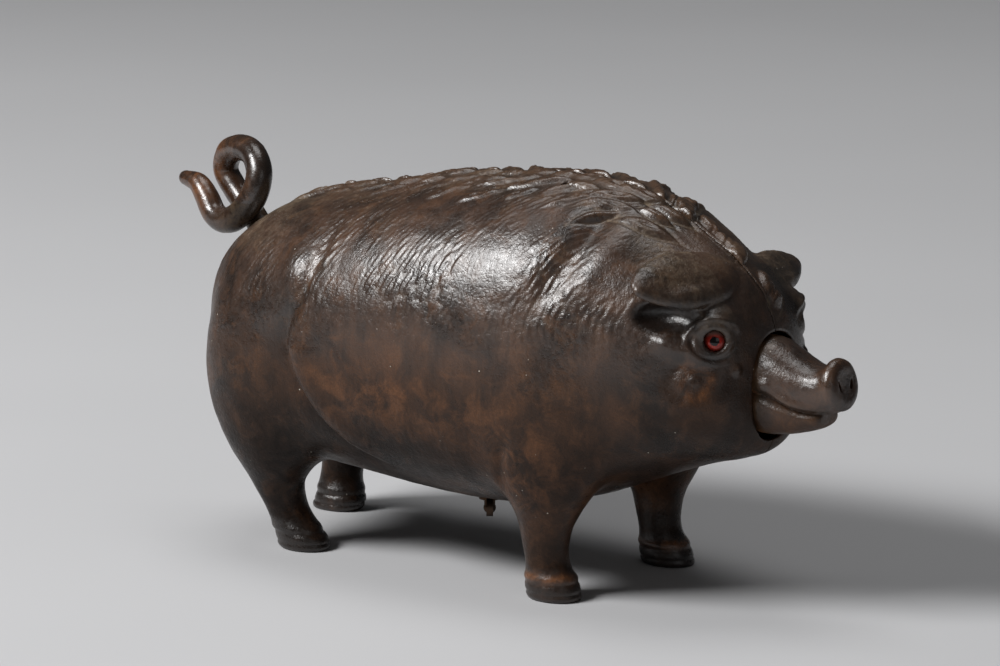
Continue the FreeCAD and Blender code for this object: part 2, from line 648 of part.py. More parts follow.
def click():
    """Pawl that lets the ratchet turn one way.  Its nose rests in a tooth gap."""
    gap = 1.55 * 2 * math.pi / RATCHET_TEETH
    tooth = (MOVEMENT_X + (RATCHET_R - 0.45) * math.cos(gap), (RATCHET_R - 0.45) * math.sin(gap))
    side = (tooth[0] + 1.6, tooth[1] + 0.2)
    low, thick = RATCHET_Z[0] + 0.1, 1.6
    eye = upright(2.2, low, low + thick, *CLICK_AT)
    body = extruded([tooth, side, (CLICK_AT[0] + 1.9, CLICK_AT[1] - 1.1), (CLICK_AT[0] - 2.0, CLICK_AT[1] - 0.6)],
                    low, thick)
    tail_end = extruded([(CLICK_AT[0] - 1.5, CLICK_AT[1] + 1.6), (CLICK_AT[0] + 1.5, CLICK_AT[1] + 1.6),
                         (CLICK_AT[0] + 0.6, CLICK_AT[1] + 4.2), (CLICK_AT[0] - 0.8, CLICK_AT[1] + 4.2)], low, thick)
    return only_solid(eye.fuse([body, tail_end]).cut(upright(1.0 + RUNNING, 28, 33, *CLICK_AT)))


def click_screw():
    return screw(Vector(*CLICK_AT, RATCHET_Z[0] - 0.1), Z_AXIS, 0.98, 4.0, 1.9, 1.0)


def click_spring():
    """Bent wire on a stud, its free end just behind the click's tail."""
    z = RATCHET_Z[0] + 0.9
    stud = upright(0.78, z - 0.6, LOWER_PLATE_Z + 1.2, *CLICK_SPRING_AT)
    end = Vector(CLICK_AT[0] - 2.25, CLICK_AT[1] + 4.0, z)
    wire = between(0.35, Vector(*CLICK_SPRING_AT, z), end)
    return only_solid(stud.fuse(wire))


def second_wheel():
    return gear(SECOND_TEETH, SECOND_MODULE, SECOND_AT, 47.2, 1.0, 1.2)


def second_arbor():
    """Arbor with the pinion that the barrel drives.  The pinion has a gap where the great wheel has a tooth."""
    pinion = gear(PINION_TEETH, GREAT_MODULE, SECOND_AT, 34.4, 2.6, 0, phase=0.5)
    shaft = upright(1.2, 37.0, 50.6, *SECOND_AT)
    pivots = [upright(PIVOT_R, LOWER_PLATE_Z, 34.5, *SECOND_AT), upright(PIVOT_R, 50.5, 53.4, *SECOND_AT)]
    return only_solid(pinion.fuse([shaft] + pivots))


def star_wheel():
    """Pointed wheel that drives the hammer."""
    step = 2 * math.pi / STAR_TEETH
    points = []
    for k in range(STAR_TEETH):
        for r, part in ((STAR_R, 0.0), (STAR_R - 2.4, 0.32), (STAR_R - 2.4, 0.68)):
            angle = (k + part) * step
            points.append((STAR_AT[0] + r * math.cos(angle), STAR_AT[1] + r * math.sin(angle)))
    return only_solid(extruded(points, 49.6, 1.0).cut(upright(1.0, 48, 52, *STAR_AT)))


def star_arbor():
    """Arbor with the pinion that the second wheel drives, a tooth gap facing that wheel."""
    pinion = gear(STAR_PINION_TEETH, SECOND_MODULE, STAR_AT, 46.4, 2.6, 0, phase=0.5)
    shaft = upright(1.0, 34.6, 51.6, *STAR_AT)
    pivots = [upright(PIVOT_R, LOWER_PLATE_Z, 34.8, *STAR_AT), upright(PIVOT_R, 51.4, 53.4, *STAR_AT)]
    return only_solid(pinion.fuse([shaft] + pivots))


HAMMER_Z = 59.6
HAMMER_HEAD = (MOVEMENT_X - 12.2, 18.1)


def hammer_arbor():
    """Upright arbor with the two pallets that the star wheel pushes in turn."""
    shaft = upright(1.2, 34.6, HAMMER_Z + 1.6, *HAMMER_AT)
    pivot = upright(PIVOT_R, LOWER_PLATE_Z, 34.8, *HAMMER_AT)
    to_star = Vector(STAR_AT[0] - HAMMER_AT[0], STAR_AT[1] - HAMMER_AT[1], 0).normalize()
    base = Vector(*HAMMER_AT, 50.1)
    pallets = []
    for turn in (-34, 34):
        pallets.append(between(0.45, base, base + FreeCAD.Rotation(Z_AXIS, turn).multVec(to_star) * 2.2))
    return only_solid(shaft.fuse([pivot] + pallets))


def hammer_arm():
    """Spring wire from the arbor's collet to the hammer head."""
    start, end = Vector(*HAMMER_AT, HAMMER_Z), Vector(*HAMMER_HEAD, HAMMER_Z)
    collet = upright(2.2, HAMMER_Z - 1.5, HAMMER_Z + 1.5, *HAMMER_AT)
    collet = collet.cut(upright(1.2, HAMMER_Z - 3, HAMMER_Z + 3, *HAMMER_AT))
    wire = between(0.6, start + (end - start).normalize() * 1.8, Vector(*HAMMER_HEAD, HAMMER_Z))
    return only_solid(collet.fuse(wire))


def hammer_head():
    """Brass button on the end of the arm, facing the bell's rim."""
    out = Vector(HAMMER_HEAD[0] - MOVEMENT_X, HAMMER_HEAD[1], 0).normalize()
    centre = Vector(*HAMMER_HEAD, HAMMER_Z)
    body = between(2.1, centre - out * 2.0, centre + out * 1.2)
    nose = Part.makeSphere(2.1, centre + out * 1.2)
    end = Vector(*HAMMER_HEAD, HAMMER_Z) - Vector(*HAMMER_AT, HAMMER_Z)
    wire_hole = between(0.6, Vector(*HAMMER_AT, HAMMER_Z), Vector(*HAMMER_AT, HAMMER_Z) + end)
    return only_solid(body.fuse(nose).cut(wire_hole))


def bell():
    """Spun dome, open below, with a flared lip and a hole for its post."""
    low, high = BELL_Z
    x = MOVEMENT_X

    def profile(radius, top, drop):
        """Half of the dome's outline from the lip to the crown, in the XZ plane."""
        points = [Vector(x + radius, 0, low), Vector(x + radius - 1.6, 0, low + 4.5),
                  Vector(x + radius - 4.2, 0, low + 9.6), Vector(x + radius * 0.60, 0, top - 1.7 - drop),
                  Vector(x + radius * 0.26, 0, top)]
        curve = Part.BSplineCurve()
        curve.interpolate(points)
        return curve.toShape(), points

    outer, p = profile(BELL_R, high, 0.0)
    inner, q = profile(BELL_R - BELL_T, high - BELL_T, 0.0)
    top_out, top_in = Vector(x + 2.1, 0, high), Vector(x + 2.1, 0, high - BELL_T)
    wire = Part.Wire([outer, Part.makeLine(p[-1], top_out), Part.makeLine(top_out, top_in),
                      Part.makeLine(top_in, q[-1]), inner, Part.makeLine(q[0], p[0])])
    return Part.Face(wire).revolve(Vector(x, 0, 0), Z_AXIS, 360)


def bell_post():
    """Post screwed to the upper plate, with a shoulder that carries the bell."""
    x, base = MOVEMENT_X, UPPER_PLATE_Z + PLATE_T
    crown = BELL_Z[1] - BELL_T
    return only_solid(upright(5.0, base, base + 1.6, x, 0).fuse(
        [upright(3.0, base, crown, x, 0), upright(2.0, crown, BELL_Z[1] + 3.4, x, 0)]))


def bell_nut():
    """Round nut with a knurled rim, on the post above the bell."""
    x, low = MOVEMENT_X, BELL_Z[1]
    rim = [((4.2 if k % 2 else 4.6) * math.cos(k * math.pi / 20) + x,
            (4.2 if k % 2 else 4.6) * math.sin(k * math.pi / 20)) for k in range(40)]
    return only_solid(extruded(rim, low, 2.8).cut(upright(2.0, low - 1, low + 4, x, 0)))


def detent_lever():
    """Flat lever on the upper plate.  Its slot takes the rod's finger, and its toe stops the star wheel."""
    low, thick = DETENT_Z, 1.4
    x, y = DETENT_AT
    eye = upright(3.2, low, low + thick, x, y)
    end_y = LINK_Y + 4.2
    arm = extruded([(x - 2.4, y), (x + 2.4, y), (x + 3.0, end_y), (x - 5.2, end_y), (x - 5.2, LINK_Y - 2.0)],
                   low, thick)
    toe = upright(TOE_R, 49.8, low + 0.5, *DETENT_TOE)
    slot = block((x - 1.35, x + 1.35), (LINK_Y - 2.2, LINK_Y + 2.6), (low - 1, low + 3))
    return only_solid(eye.fuse([arm, toe]).cut([slot, upright(1.0 + RUNNING, 50, 60, x, y)]))


def detent_screw():
    return screw(Vector(*DETENT_AT, DETENT_Z + 1.5), Vector(0, 0, -1), 0.98, 3.4, 2.0, 1.1)


def pivot_pin(at, half):
    return across(PIN_R, -half, half, *at)


# ---------------------------------------------------------------- write every node
def main():
    os.makedirs("parts", exist_ok=True)
    save("body_half_left", body_half(1))
    save("body_half_right", body_half(-1))
    save("glass_eye_left", glass_eye(1))
    save("glass_eye_right", glass_eye(-1))
    save("joining_screws", *joining_screws())
    save("case_screws", *case_screws())

    save("snout", snout_tongue_holes(snout()))
    save("snout_lever", snout_lever())
    save("snout_rivets", *rivets())
    save("snout_pivot_pin", pivot_pin(SNOUT_PIVOT, 15.5))
    save("front_link_pin", link_pin(FRONT_LINK, SNOUT_LEVER_Y[0]))
    save("tail", tail())
    save("tail_lever", tail_lever())
    save("tail_pivot_pin", pivot_pin(TAIL_PIVOT, 15.5))
    save("rear_link_pin", link_pin(REAR_LINK, TAIL_LEVER_Y[0]))
    save("link_rod", link_rod())
    save("return_spring", return_spring())
    save("spring_post", spring_post())
    save("detent_lever", detent_lever())
    save("detent_screw", detent_screw())

    save("lower_plate", lower_plate())
    save("upper_plate", upper_plate())
    save("plate_pillars", *pillars())
    save("pillar_screws", *pillar_screws())
    save("mainspring_barrel", barrel())
    save("barrel_cover", barrel_cover())
    save("mainspring", mainspring())
    save("winding_arbor", winding_arbor())
    save("ratchet_wheel", ratchet_wheel())
    save("winding_key", winding_key())
    save("click", click())
    save("click_screw", click_screw())
    save("click_spring", click_spring())
    save("second_wheel", second_wheel())
    save("second_arbor", second_arbor())
    save("star_wheel", star_wheel())
    save("star_arbor", star_arbor())
    save("hammer_arbor", hammer_arbor())
    save("hammer_arm", hammer_arm())
    save("hammer_head", hammer_head())
    save("bell", bell())
    save("bell_post", bell_post())
    save("bell_nut", bell_nut())


main()
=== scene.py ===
"""Looks of the clockwork counter bell cast as a standing pig.

The cast pieces are sculpted as fields of signed distances, turned into meshes, and then carved with
fur, locks and folds by moving their points.  Sculpting is in mm; the finished meshes are in metres.
"""
import json
import math

import bpy
import numpy as np
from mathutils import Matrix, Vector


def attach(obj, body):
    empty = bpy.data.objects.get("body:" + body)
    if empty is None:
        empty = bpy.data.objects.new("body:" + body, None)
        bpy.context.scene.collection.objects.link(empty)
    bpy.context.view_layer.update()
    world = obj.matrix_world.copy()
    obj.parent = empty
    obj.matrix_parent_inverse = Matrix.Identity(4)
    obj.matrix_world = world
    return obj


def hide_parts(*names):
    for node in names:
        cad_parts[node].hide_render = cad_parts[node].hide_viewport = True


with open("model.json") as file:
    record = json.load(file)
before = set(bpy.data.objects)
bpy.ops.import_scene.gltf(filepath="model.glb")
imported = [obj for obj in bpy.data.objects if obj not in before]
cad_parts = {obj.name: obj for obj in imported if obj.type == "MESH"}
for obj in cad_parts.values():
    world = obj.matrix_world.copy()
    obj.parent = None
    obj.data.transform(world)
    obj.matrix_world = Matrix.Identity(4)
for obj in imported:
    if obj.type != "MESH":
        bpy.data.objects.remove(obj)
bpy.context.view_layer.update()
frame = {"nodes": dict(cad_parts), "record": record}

import openvdb

# -------- sizes, in mm
MM = 0.001  # one millimetre in metres
BODY_VOXEL = 0.45
FINE_VOXEL = 0.28
WALL = 3.2  # thickness of the cast shell
SEAM_HALF_GAP = 0.1
ROUNDNESS = 2.25  # exponent of the rounded cross-sections

# Body and head, from rump to face: (x, top, bottom, half width, height of the widest place)
BODY = [
    (-89, 68.5, 55.0, 7.0, 61.0), (-87, 75.6, 46.0, 14.8, 60.5), (-83, 81.2, 38.5, 22.2, 59.5),
    (-76, 86.8, 31.0, 29.6, 58.5), (-65, 92.4, 26.5, 36.2, 57.5), (-50, 96.3, 23.0, 41.0, 57.5),
    (-32, 99.5, 20.8, 42.8, 58.0), (-12, 103.6, 19.4, 43.3, 59.0), (8, 105.8, 19.0, 42.8, 60.0),
    (25, 107.2, 20.6, 41.2, 61.0), (38, 106.6, 24.2, 38.8, 61.5), (49, 104.6, 28.4, 35.6, 62.0),
    (59, 100.4, 32.4, 32.2, 62.0), (68, 95.4, 35.8, 29.0, 61.5), (76, 90.4, 38.4, 25.6, 61.0),
    (82.5, 84.8, 40.2, 21.4, 60.5), (87, 79.0, 42.4, 17.0, 60.0), (89.6, 74.6, 46.0, 12.0, 60.0),
]
END_FACES = (-89.3, 89.9)  # x of the rump's and the face's flat ends
# Upper snout and lower jaw: the same columns as the body
UPPER_SNOUT = [
    (84.0, 72.4, 57.0, 8.9, 62.0), (89.0, 72.3, 57.4, 9.5, 61.6), (94.0, 70.4, 56.4, 9.1, 61.0),
    (98.0, 68.2, 54.9, 8.4, 60.4), (102.0, 66.6, 54.0, 7.6, 60.2), (105.5, 66.6, 54.4, 6.9, 60.6),
    (108.0, 67.4, 55.0, 6.4, 61.2),
]
JAW = [
    (84.0, 62.0, 47.2, 8.9, 57.0), (89.0, 60.6, 47.2, 9.2, 56.0), (94.0, 58.4, 47.7, 8.4, 54.8),
    (99.0, 56.4, 48.8, 7.1, 53.6), (103.0, 55.6, 50.0, 5.9, 53.2), (106.0, 55.4, 51.2, 4.6, 53.4),
]
# The mouth from its curled corner to the front: (x, y, z), on the left side
MOUTH = [(90.6, 9.6, 59.2), (91.6, 9.6, 58.6), (93.6, 9.0, 57.9), (96.2, 8.5, 56.8),
         (99.0, 7.8, 55.8), (102.0, 6.9, 55.3), (104.6, 5.6, 55.2), (106.2, 3.2, 55.2),
         (106.8, 0.0, 55.2)]
LIP_RADII = [1.0, 1.4, 1.5, 1.4, 1.3, 1.1, 1.0]
MOUTH_RADII = [1.1, 1.2, 0.95, 0.8, 0.75, 0.7, 0.65, 0.6, 0.6]
NOSE_CENTRE = (108.6, 0.0, 62.3)
NOSE_RADII = (6.6, 6.9)
NOSE_LEAN = 0.20  # the nose's face looks this much upwards
SNOUT_REAR, UPPER_FRONT, JAW_FRONT = 85.0, 108.6, 105.6
TONGUE_CENTRE = (82.6, 0.0, 62.0)  # the lug behind the snout, riveted to its lever
TONGUE_HALF = (3.4, 2.2, 5.4)
RIVETS = [(80.6, 59.4), (81.4, 64.7)]
RIVET_HOLE_R = 0.95

# Legs, from the sole up: (x, y, z, half length, half width)
FRONT_LEG = [
    (36.6, 23.8, 0.0, 7.5, 5.7), (36.4, 23.8, 1.2, 7.8, 6.2), (36.0, 23.8, 3.4, 7.7, 6.2),
    (35.6, 23.8, 5.4, 7.3, 6.1), (34.7, 23.8, 8.6, 6.0, 5.7), (34.0, 24.0, 16.0, 6.5, 6.1),
    (35.0, 24.2, 25.0, 9.2, 8.2), (35.0, 24.0, 40.0, 15.0, 10.0),
]
HIND_LEG = [
    (-49.6, 22.8, 0.0, 7.5, 5.5), (-49.8, 22.8, 1.0, 8.0, 6.0), (-50.4, 22.9, 3.2, 7.8, 6.0),
    (-52.2, 23.1, 6.0, 7.0, 5.8), (-54.4, 23.4, 9.4, 6.1, 5.6), (-57.4, 24.2, 17.0, 7.2, 6.5),
    (-56.8, 25.0, 27.0, 11.2, 9.2), (-57.0, 25.4, 42.0, 15.0, 11.0),
]
LEFT_FRONT_SHIFT = (1.6, 0.4)  # the left feet stand out of step, in x and y
LEFT_HIND_SHIFT = (-22.6, -4.8)

# Swellings of the left side, mirrored for the right: (centre, radii, blend)
LIMB_SWELLINGS = [
    ((-57.0, 26.5, 48.0), (20.0, 13.6, 27.0), 7.0),  # haunch
    ((35.0, 24.5, 48.0), (17.0, 12.4, 24.0), 8.0),  # shoulder
]
FACE_SWELLINGS = [
    ((79.0, 16.0, 77.4), (7.0, 6.0, 4.6), 3.5),  # brow
    ((76.0, 16.5, 57.0), (10.0, 9.0, 9.0), 5.0),  # jowl
]
WART = (80.2, 22.6, 63.1)
WART_R = 1.6
PIMPLE = (87.4, 15.0, 65.7)
PIMPLE_R = 1.2

EAR_CENTRE = (74.4, 20.2, 88.0)
LEFT_EAR_DROP = 3.6
EAR_AXES = (17.0, 8.8, 3.4)  # half length, half width, half thickness
LEFT_EAR_HALF_WIDTH = 6.4
EAR_DIRECTION = (-0.225, 0.974, -0.015)
EAR_FACE = (0.652, 0.16, 0.741)
UNDER_EAR = (73.8, 27.4, 79.2)  # centre of the hollow under the ear
UNDER_EAR_RADII = (9.4, 8.2, 4.8)
EYE_CENTRE = (82.4, 17.6, 73.0)
EYE_NORMAL = (0.56, 0.80, 0.20)
EYE_R = 2.8
EYE_DOME_R = 3.6
EYE_BORE_DEPTH = 3.6
EYE_FIT = 0.05

# Posts and holes of the halves
JOINING_SCREWS = [(-58.0, 58.0), (45.0, 92.0), (53.0, 42.0)]  # x, z
JOINING_POST_R = 4.6
JOINING_CLEAR_R, JOINING_THREAD_R, JOINING_THREAD_Y = 1.7, 1.5, 14.0
JOINING_HEAD_R, JOINING_HEAD_Y = 3.2, 22.0
PIVOT_PINS = [(75.0, 62.0), (-73.0, 80.0)]  # x, z
PIN_BOSS_R, PIN_BOSS_Y, PIN_BORE_R, PIN_BORE_END = 4.0, 12.5, 1.52, 16.0
CASE_SCREWS = [(-29.0, 9.0), (29.0, 9.0)]  # x, distance from the seam
CASE_POST_R, CASE_POST_TOP = 4.2, 32.0
CASE_CLEAR_R, CASE_HEAD_R, CASE_HEAD_TOP = 1.4, 2.7, 25.0
FACE_OPENING = (73.4, 45.4, 10.4, 60.0)  # top, bottom, half width, height of the widest place
FACE_OPENING_REAR = 76.0
TAIL_SLOT_Z, TAIL_SLOT_R, TAIL_SLOT_END = (80.0, 82.6), 4.2, -78.0
BELLY_X, BELLY_HOLE_R, BELLY_HOLE_TOP = -3.5, 4.2, 30.0

TAIL = [
    (-79.5, 0.0, 78.4), (-84.0, 0.1, 81.6), (-89.0, 1.0, 85.8), (-95.2, 2.4, 90.4),
    (-99.2, 2.8, 95.6), (-96.8, 1.8, 100.8), (-90.6, -0.4, 103.2), (-83.6, -3.2, 102.2),
    (-79.6, -5.6, 97.8), (-80.4, -7.0, 91.6), (-84.6, -7.6, 86.4), (-90.2, -7.4, 83.6),
    (-95.2, -6.4, 84.8), (-98.9, -5.4, 88.8), (-103.2, -4.1, 92.3), (-108.88, -2.9, 93.1),
]
TAIL_R = (3.4, 3.7, 2.1)  # at the root, half way round the loop, at the tip
TAIL_STUD_R = 1.6
TAIL_STUD_LENGTH = 3.9

# Rows of locks: distance from the seam, x range, step, half length, half width, height
LOCK_ROWS = [
    (3.0, -62.0, 60.0, 8.6, 6.0, 2.4, 1.55),
    (8.0, -58.0, 64.0, 9.6, 6.2, 2.1, 1.35),
    (12.4, -30.0, 60.0, 10.6, 6.4, 1.9, 1.1),
    (17.6, -6.0, 56.0, 12.0, 6.6, 1.7, 0.8),
]
FORELOCKS = (3.7, 54.0, 88.0, 5.4, 4.9, 2.9, 2.1)  # the thick chain on the left of the seam
LOCK_LIMITS = (-0.7, 1.6)  # deepest groove and softest ceiling of the locks
LOCK_SEEDS = {1: 11, -1: 7}  # for the left and the right side
# Creases on each flank, as (x, z) points
HAUNCH_LINE = [(-35.5, 95.5), (-34.0, 91.4), (-33.2, 85.7), (-33.9, 80.7), (-35.7, 74.2),
               (-39.2, 67.2), (-40.4, 60.5), (-38.8, 55.3), (-36.4, 50.2), (-34.2, 46.3),
               (-31.3, 41.4), (-27.7, 37.8), (-23.0, 33.9), (-15.9, 30.3), (-6.0, 28.4)]
NECK_LINE = [(49.5, 105.0), (47.7, 101.0), (47.2, 97.1), (45.5, 92.0), (43.0, 86.8), (40.0, 80.5),
             (37.0, 74.0)]
CHEEK_LINE = [(69.0, 74.0), (72.0, 72.6), (75.4, 71.3), (78.7, 70.5), (80.9, 68.7)]
ELBOW_LINE = [(25.6, 28.0), (27.0, 33.0), (29.3, 39.2), (34.2, 46.9)]
HIP_AT = (-40.0, 81.0)
CHEEK_HOLLOW_AT = (79.0, 63.5)
FLANK_GIRTH = 42.0  # turns an angle round the body into mm
FUR_END = 74.0  # mm down from the seam where strokes point straight down


# -------- small mathematics
def unit(vector):
    vector = np.array(vector, float)
    return vector / np.linalg.norm(vector)


def mirrored(place, side):
    """A place or direction given for the left side, on this side."""
    return np.array(place, float) * (1, side, 1)


def smooth_step(value, low, high):
    t = np.clip((value - low) / (high - low), 0.0, 1.0)
    return t * t * (3 - 2 * t)


def bell_shape(distance, width):
    """One at no distance, falling to nought beyond about twice the width."""
    return np.exp(-(distance / width) ** 2)


def curve_through(at, places, values):
    """Values of a smooth curve through (places, values)."""
    places, values = np.array(places, float), np.array(values, float)
    slopes = np.gradient(values, places)
    k = np.clip(np.searchsorted(places, at) - 1, 0, len(places) - 2)
    gap = places[k + 1] - places[k]
    t = np.clip((at - places[k]) / gap, 0.0, 1.0)
    start = (1 + 2 * t) * (1 - t) ** 2 * values[k] + t * (1 - t) ** 2 * gap * slopes[k]
    end = t * t * (3 - 2 * t) * values[k + 1] + t * t * (t - 1) * gap * slopes[k + 1]
    return start + end


def hashed(i, j, k, seed):
    """A number from 0 to 1 for each whole-numbered place, always the same."""
    h = i.astype(np.int64) * 73856093 ^ j.astype(np.int64) * 19349663
    h = h ^ k.astype(np.int64) * 83492791 ^ (seed * 2654435761)
    h = (h ^ (h >> 13)) * 1274126177
    return ((h ^ (h >> 16)) & 0xFFFFFF) / float(0xFFFFFF)


def corner_blend(cell, t, value_at):
    """Values at the eight corners of each point's cell, weighted by its place t within the cell."""
    total = np.zeros(len(t))
    for corner in range(8):
        step = np.array([corner & 1, corner >> 1 & 1, corner >> 2 & 1])
        weight = np.prod(np.where(step, t, 1 - t), axis=1)
        total += weight * value_at(*(cell + step).T)
    return total


def lump_noise(points, size, seed):
    """Smooth noise from -1 to 1, with lumps about as large as size."""
    q = points / size
    cell = np.floor(q).astype(np.int64)
    t = q - cell
    return 2 * corner_blend(cell, t * t * (3 - 2 * t), lambda i, j, k: hashed(i, j, k, seed)) - 1


def strokes(along, across, length, width, seed):
    """Height from 0 to 1 of short tapered strokes, laid in wandering rows."""
    row = np.floor(across / width)
    offset = across / width - row - 0.5
    zero = np.zeros_like(row)
    place = along / length + 7 * hashed(row, zero, zero, seed)
    cell = np.floor(place)
    level = hashed(row, cell, zero, seed + 1)
    return np.cos(math.pi * offset) * np.sin(math.pi * (place - cell)) ** 0.7 * (0.3 + 0.7 * level)


def line_distance(u, v, line):
    """Distance to a line in a plane, negative on its right, and the share of the way along it."""
    best = np.full(len(u), 1e9)
    signed, share = np.zeros(len(u)), np.zeros(len(u))
    for k in range(len(line) - 1):
        (ua, va), (ub, vb) = line[k], line[k + 1]
        du, dv = ub - ua, vb - va
        t = np.clip(((u - ua) * du + (v - va) * dv) / (du * du + dv * dv), 0.0, 1.0)
        gap = np.hypot(u - ua - t * du, v - va - t * dv)
        side = np.sign(du * (v - va) - dv * (u - ua))
        closer = gap < best
        best = np.where(closer, gap, best)
        signed = np.where(closer, gap * side, signed)
        share = np.where(closer, (k + t) / (len(line) - 1), share)
    return signed, share


# -------- fields of signed distances
class Field:
    """A regular grid of points, and the distances of shapes measured on it."""

    def __init__(self, low, high, voxel):
        self.low, self.voxel = np.array(low, float), voxel
        counts = np.ceil((np.array(high) - self.low) / voxel).astype(int) + 1
        axes = [(self.low[k] + voxel * np.arange(counts[k])).astype(np.float32) for k in range(3)]
        self.x, self.y, self.z = np.meshgrid(*axes, indexing="ij", sparse=True)

    def loft(self, rows, inset=0.0):
        """A body of rounded upright sections along X.  Its ends are left open."""
        x = self.x[:, 0, 0]
        at = [r[0] for r in rows]
        columns = [curve_through(x, at, [r[k] for r in rows]) for k in range(1, 5)]
        slope = np.gradient(columns[2], x)
        top, bottom, half, middle = [c.astype(np.float32)[:, None, None] for c in columns]
        tilt = (1 / np.sqrt(1 + slope ** 2)).astype(np.float32)[:, None, None]
        reach = np.where(self.z > middle, top - inset - middle, middle - bottom - inset)
        wide = (np.abs(self.y) / (half - inset)) ** ROUNDNESS
        tall = (np.abs(self.z - middle) / reach) ** ROUNDNESS
        value = (wide + tall + 1e-6) ** (1 / ROUNDNESS)
        radial = np.sqrt(self.y ** 2 + (self.z - middle) ** 2 + 1e-3)
        return radial * (1 - 1 / value) * tilt

    def leg(self, rows, side, shift):
        z = self.z[0, 0, :]
        heights = [r[2] for r in rows]
        fade = np.clip(1 - z / heights[-1], 0, 1)
        cx, cy, a, b = [curve_through(z, heights, [r[k] for r in rows]) for k in (0, 1, 3, 4)]
        cx = (cx + shift[0] * fade).astype(np.float32)[None, None, :]
        cy = (side * (cy + shift[1] * fade)).astype(np.float32)[None, None, :]
        a, b = a.astype(np.float32)[None, None, :], b.astype(np.float32)[None, None, :]
        radial = np.sqrt((self.x - cx) ** 2 + (self.y - cy) ** 2 + 1e-3)
        value = np.sqrt(((self.x - cx) / a) ** 2 + ((self.y - cy) / b) ** 2 + 1e-6)
        shaft = radial * (1 - 1 / value)
        return common(common(shaft, -self.z), self.z - heights[-1])

    def local(self, origin, axes):
        """Coordinates along three directions from an origin."""
        dx, dy, dz = self.x - origin[0], self.y - origin[1], self.z - origin[2]
        return [dx * np.float32(d[0]) + dy * np.float32(d[1]) + dz * np.float32(d[2]) for d in axes]

    def ball(self, centre, radii):
        dx, dy, dz = self.x - centre[0], self.y - centre[1], self.z - centre[2]
        radial = np.sqrt(dx ** 2 + dy ** 2 + dz ** 2 + 1e-3)
        value = np.sqrt((dx / radii[0]) ** 2 + (dy / radii[1]) ** 2 + (dz / radii[2]) ** 2 + 1e-6)
        return radial * (1 - 1 / value)

    def upright(self, radius, x, y):
        return np.sqrt((self.x - x) ** 2 + (self.y - y) ** 2) - radius

    def across(self, radius, x, z):
        return np.sqrt((self.x - x) ** 2 + (self.z - z) ** 2) - radius

    def tube(self, points, radii):
        """A round bar along a line of points, its radius changing from point to point."""
        best = None
        for k in range(len(points) - 1):
            a, b = np.array(points[k], float), np.array(points[k + 1], float)
            d = b - a
            reach = max(radii[k], radii[k + 1]) + 4 * self.voxel
            low, high = np.minimum(a, b) - reach, np.maximum(a, b) + reach
            spans = [slice(*np.searchsorted(axis.ravel(), (low[n], high[n])))
                     for n, axis in enumerate((self.x, self.y, self.z))]
            x, y, z = self.x[spans[0]], self.y[:, spans[1]], self.z[:, :, spans[2]]
            t = ((x - a[0]) * d[0] + (y - a[1]) * d[1] + (z - a[2]) * d[2]) / d.dot(d)
            t = np.clip(t, 0.0, 1.0)
            gap = np.sqrt((x - a[0] - t * d[0]) ** 2 + (y - a[1] - t * d[1]) ** 2
                          + (z - a[2] - t * d[2]) ** 2)
            part = gap - (radii[k] + (radii[k + 1] - radii[k]) * t)
            if best is None:
                shape = np.broadcast_shapes(self.x.shape, self.y.shape, self.z.shape)
                best = np.full(shape, 4.0, np.float32)
            best[tuple(spans)] = np.minimum(best[tuple(spans)], part)
        return best

    def sample(self, values, points):
        """Values at points between the grid's own."""
        q = (points - self.low) / self.voxel
        cell = np.clip(np.floor(q).astype(int), 0, np.array(values.shape) - 2)
        return corner_blend(cell, q - cell, lambda i, j, k: values[i, j, k])

    def surface(self, values):
        """Points, quads and normals of the surface where the distance is nought."""
        grid = openvdb.FloatGrid()
        grid.copyFromArray(np.ascontiguousarray(values, dtype=np.float32))
        points, quads = grid.convertToQuads(isovalue=0.0)
        points = points * self.voxel + self.low
        return points, quads, normals_of(points, quads)


def join(a, b, blend=0.0):
    """Union of two shapes, with a rounded inner corner."""
    if blend <= 0:
        return np.minimum(a, b)
    h = np.maximum(blend - np.abs(a - b), 0.0) / blend
    return np.minimum(a, b) - h * h * blend * 0.25


def common(a, b, blend=0.0):
    return -join(-a, -b, blend)


def less(a, b, blend=0.0):
    return -join(-a, b, blend)


# -------- objects and meshes
def add_object(name, data):
    made = bpy.data.objects.new(name, data)
    bpy.context.scene.collection.objects.link(made)
    return made


def aim(thing, place, away):
    """Put a lamp or the camera at a place, looking against the direction away."""
    thing.location = place
    thing.rotation_mode = "QUATERNION"
    thing.rotation_quaternion = Vector(away.tolist()).to_track_quat("Z", "Y")


def mesh_piece(name, points, quads, attributes=None):
    """A smooth-shaded object from points in mm and quads, facing outwards."""
    centre = points.mean(axis=0)
    a, b, c = (points[quads[:, k]] - centre for k in range(3))
    if np.einsum("ij,ij->i", a, np.cross(b, c)).sum() < 0:
        quads = quads[:, ::-1]
    mesh = bpy.data.meshes.new(name)
    mesh.vertices.add(len(points))
    mesh.vertices.foreach_set("co", (points * MM).astype(np.float32).ravel())
    mesh.loops.add(quads.size)
    mesh.loops.foreach_set("vertex_index", np.ascontiguousarray(quads, dtype=np.int32).ravel())
    mesh.polygons.add(len(quads))
    mesh.polygons.foreach_set("loop_start", np.arange(0, quads.size, 4, dtype=np.int32))
    mesh.update(calc_edges=True)
    mesh.shade_smooth()
    for label, values in (attributes or {}).items():
        store = mesh.attributes.new(label, "FLOAT", "POINT")
        store.data.foreach_set("value", np.ascontiguousarray(values, dtype=np.float32))
    return add_object(name, mesh)


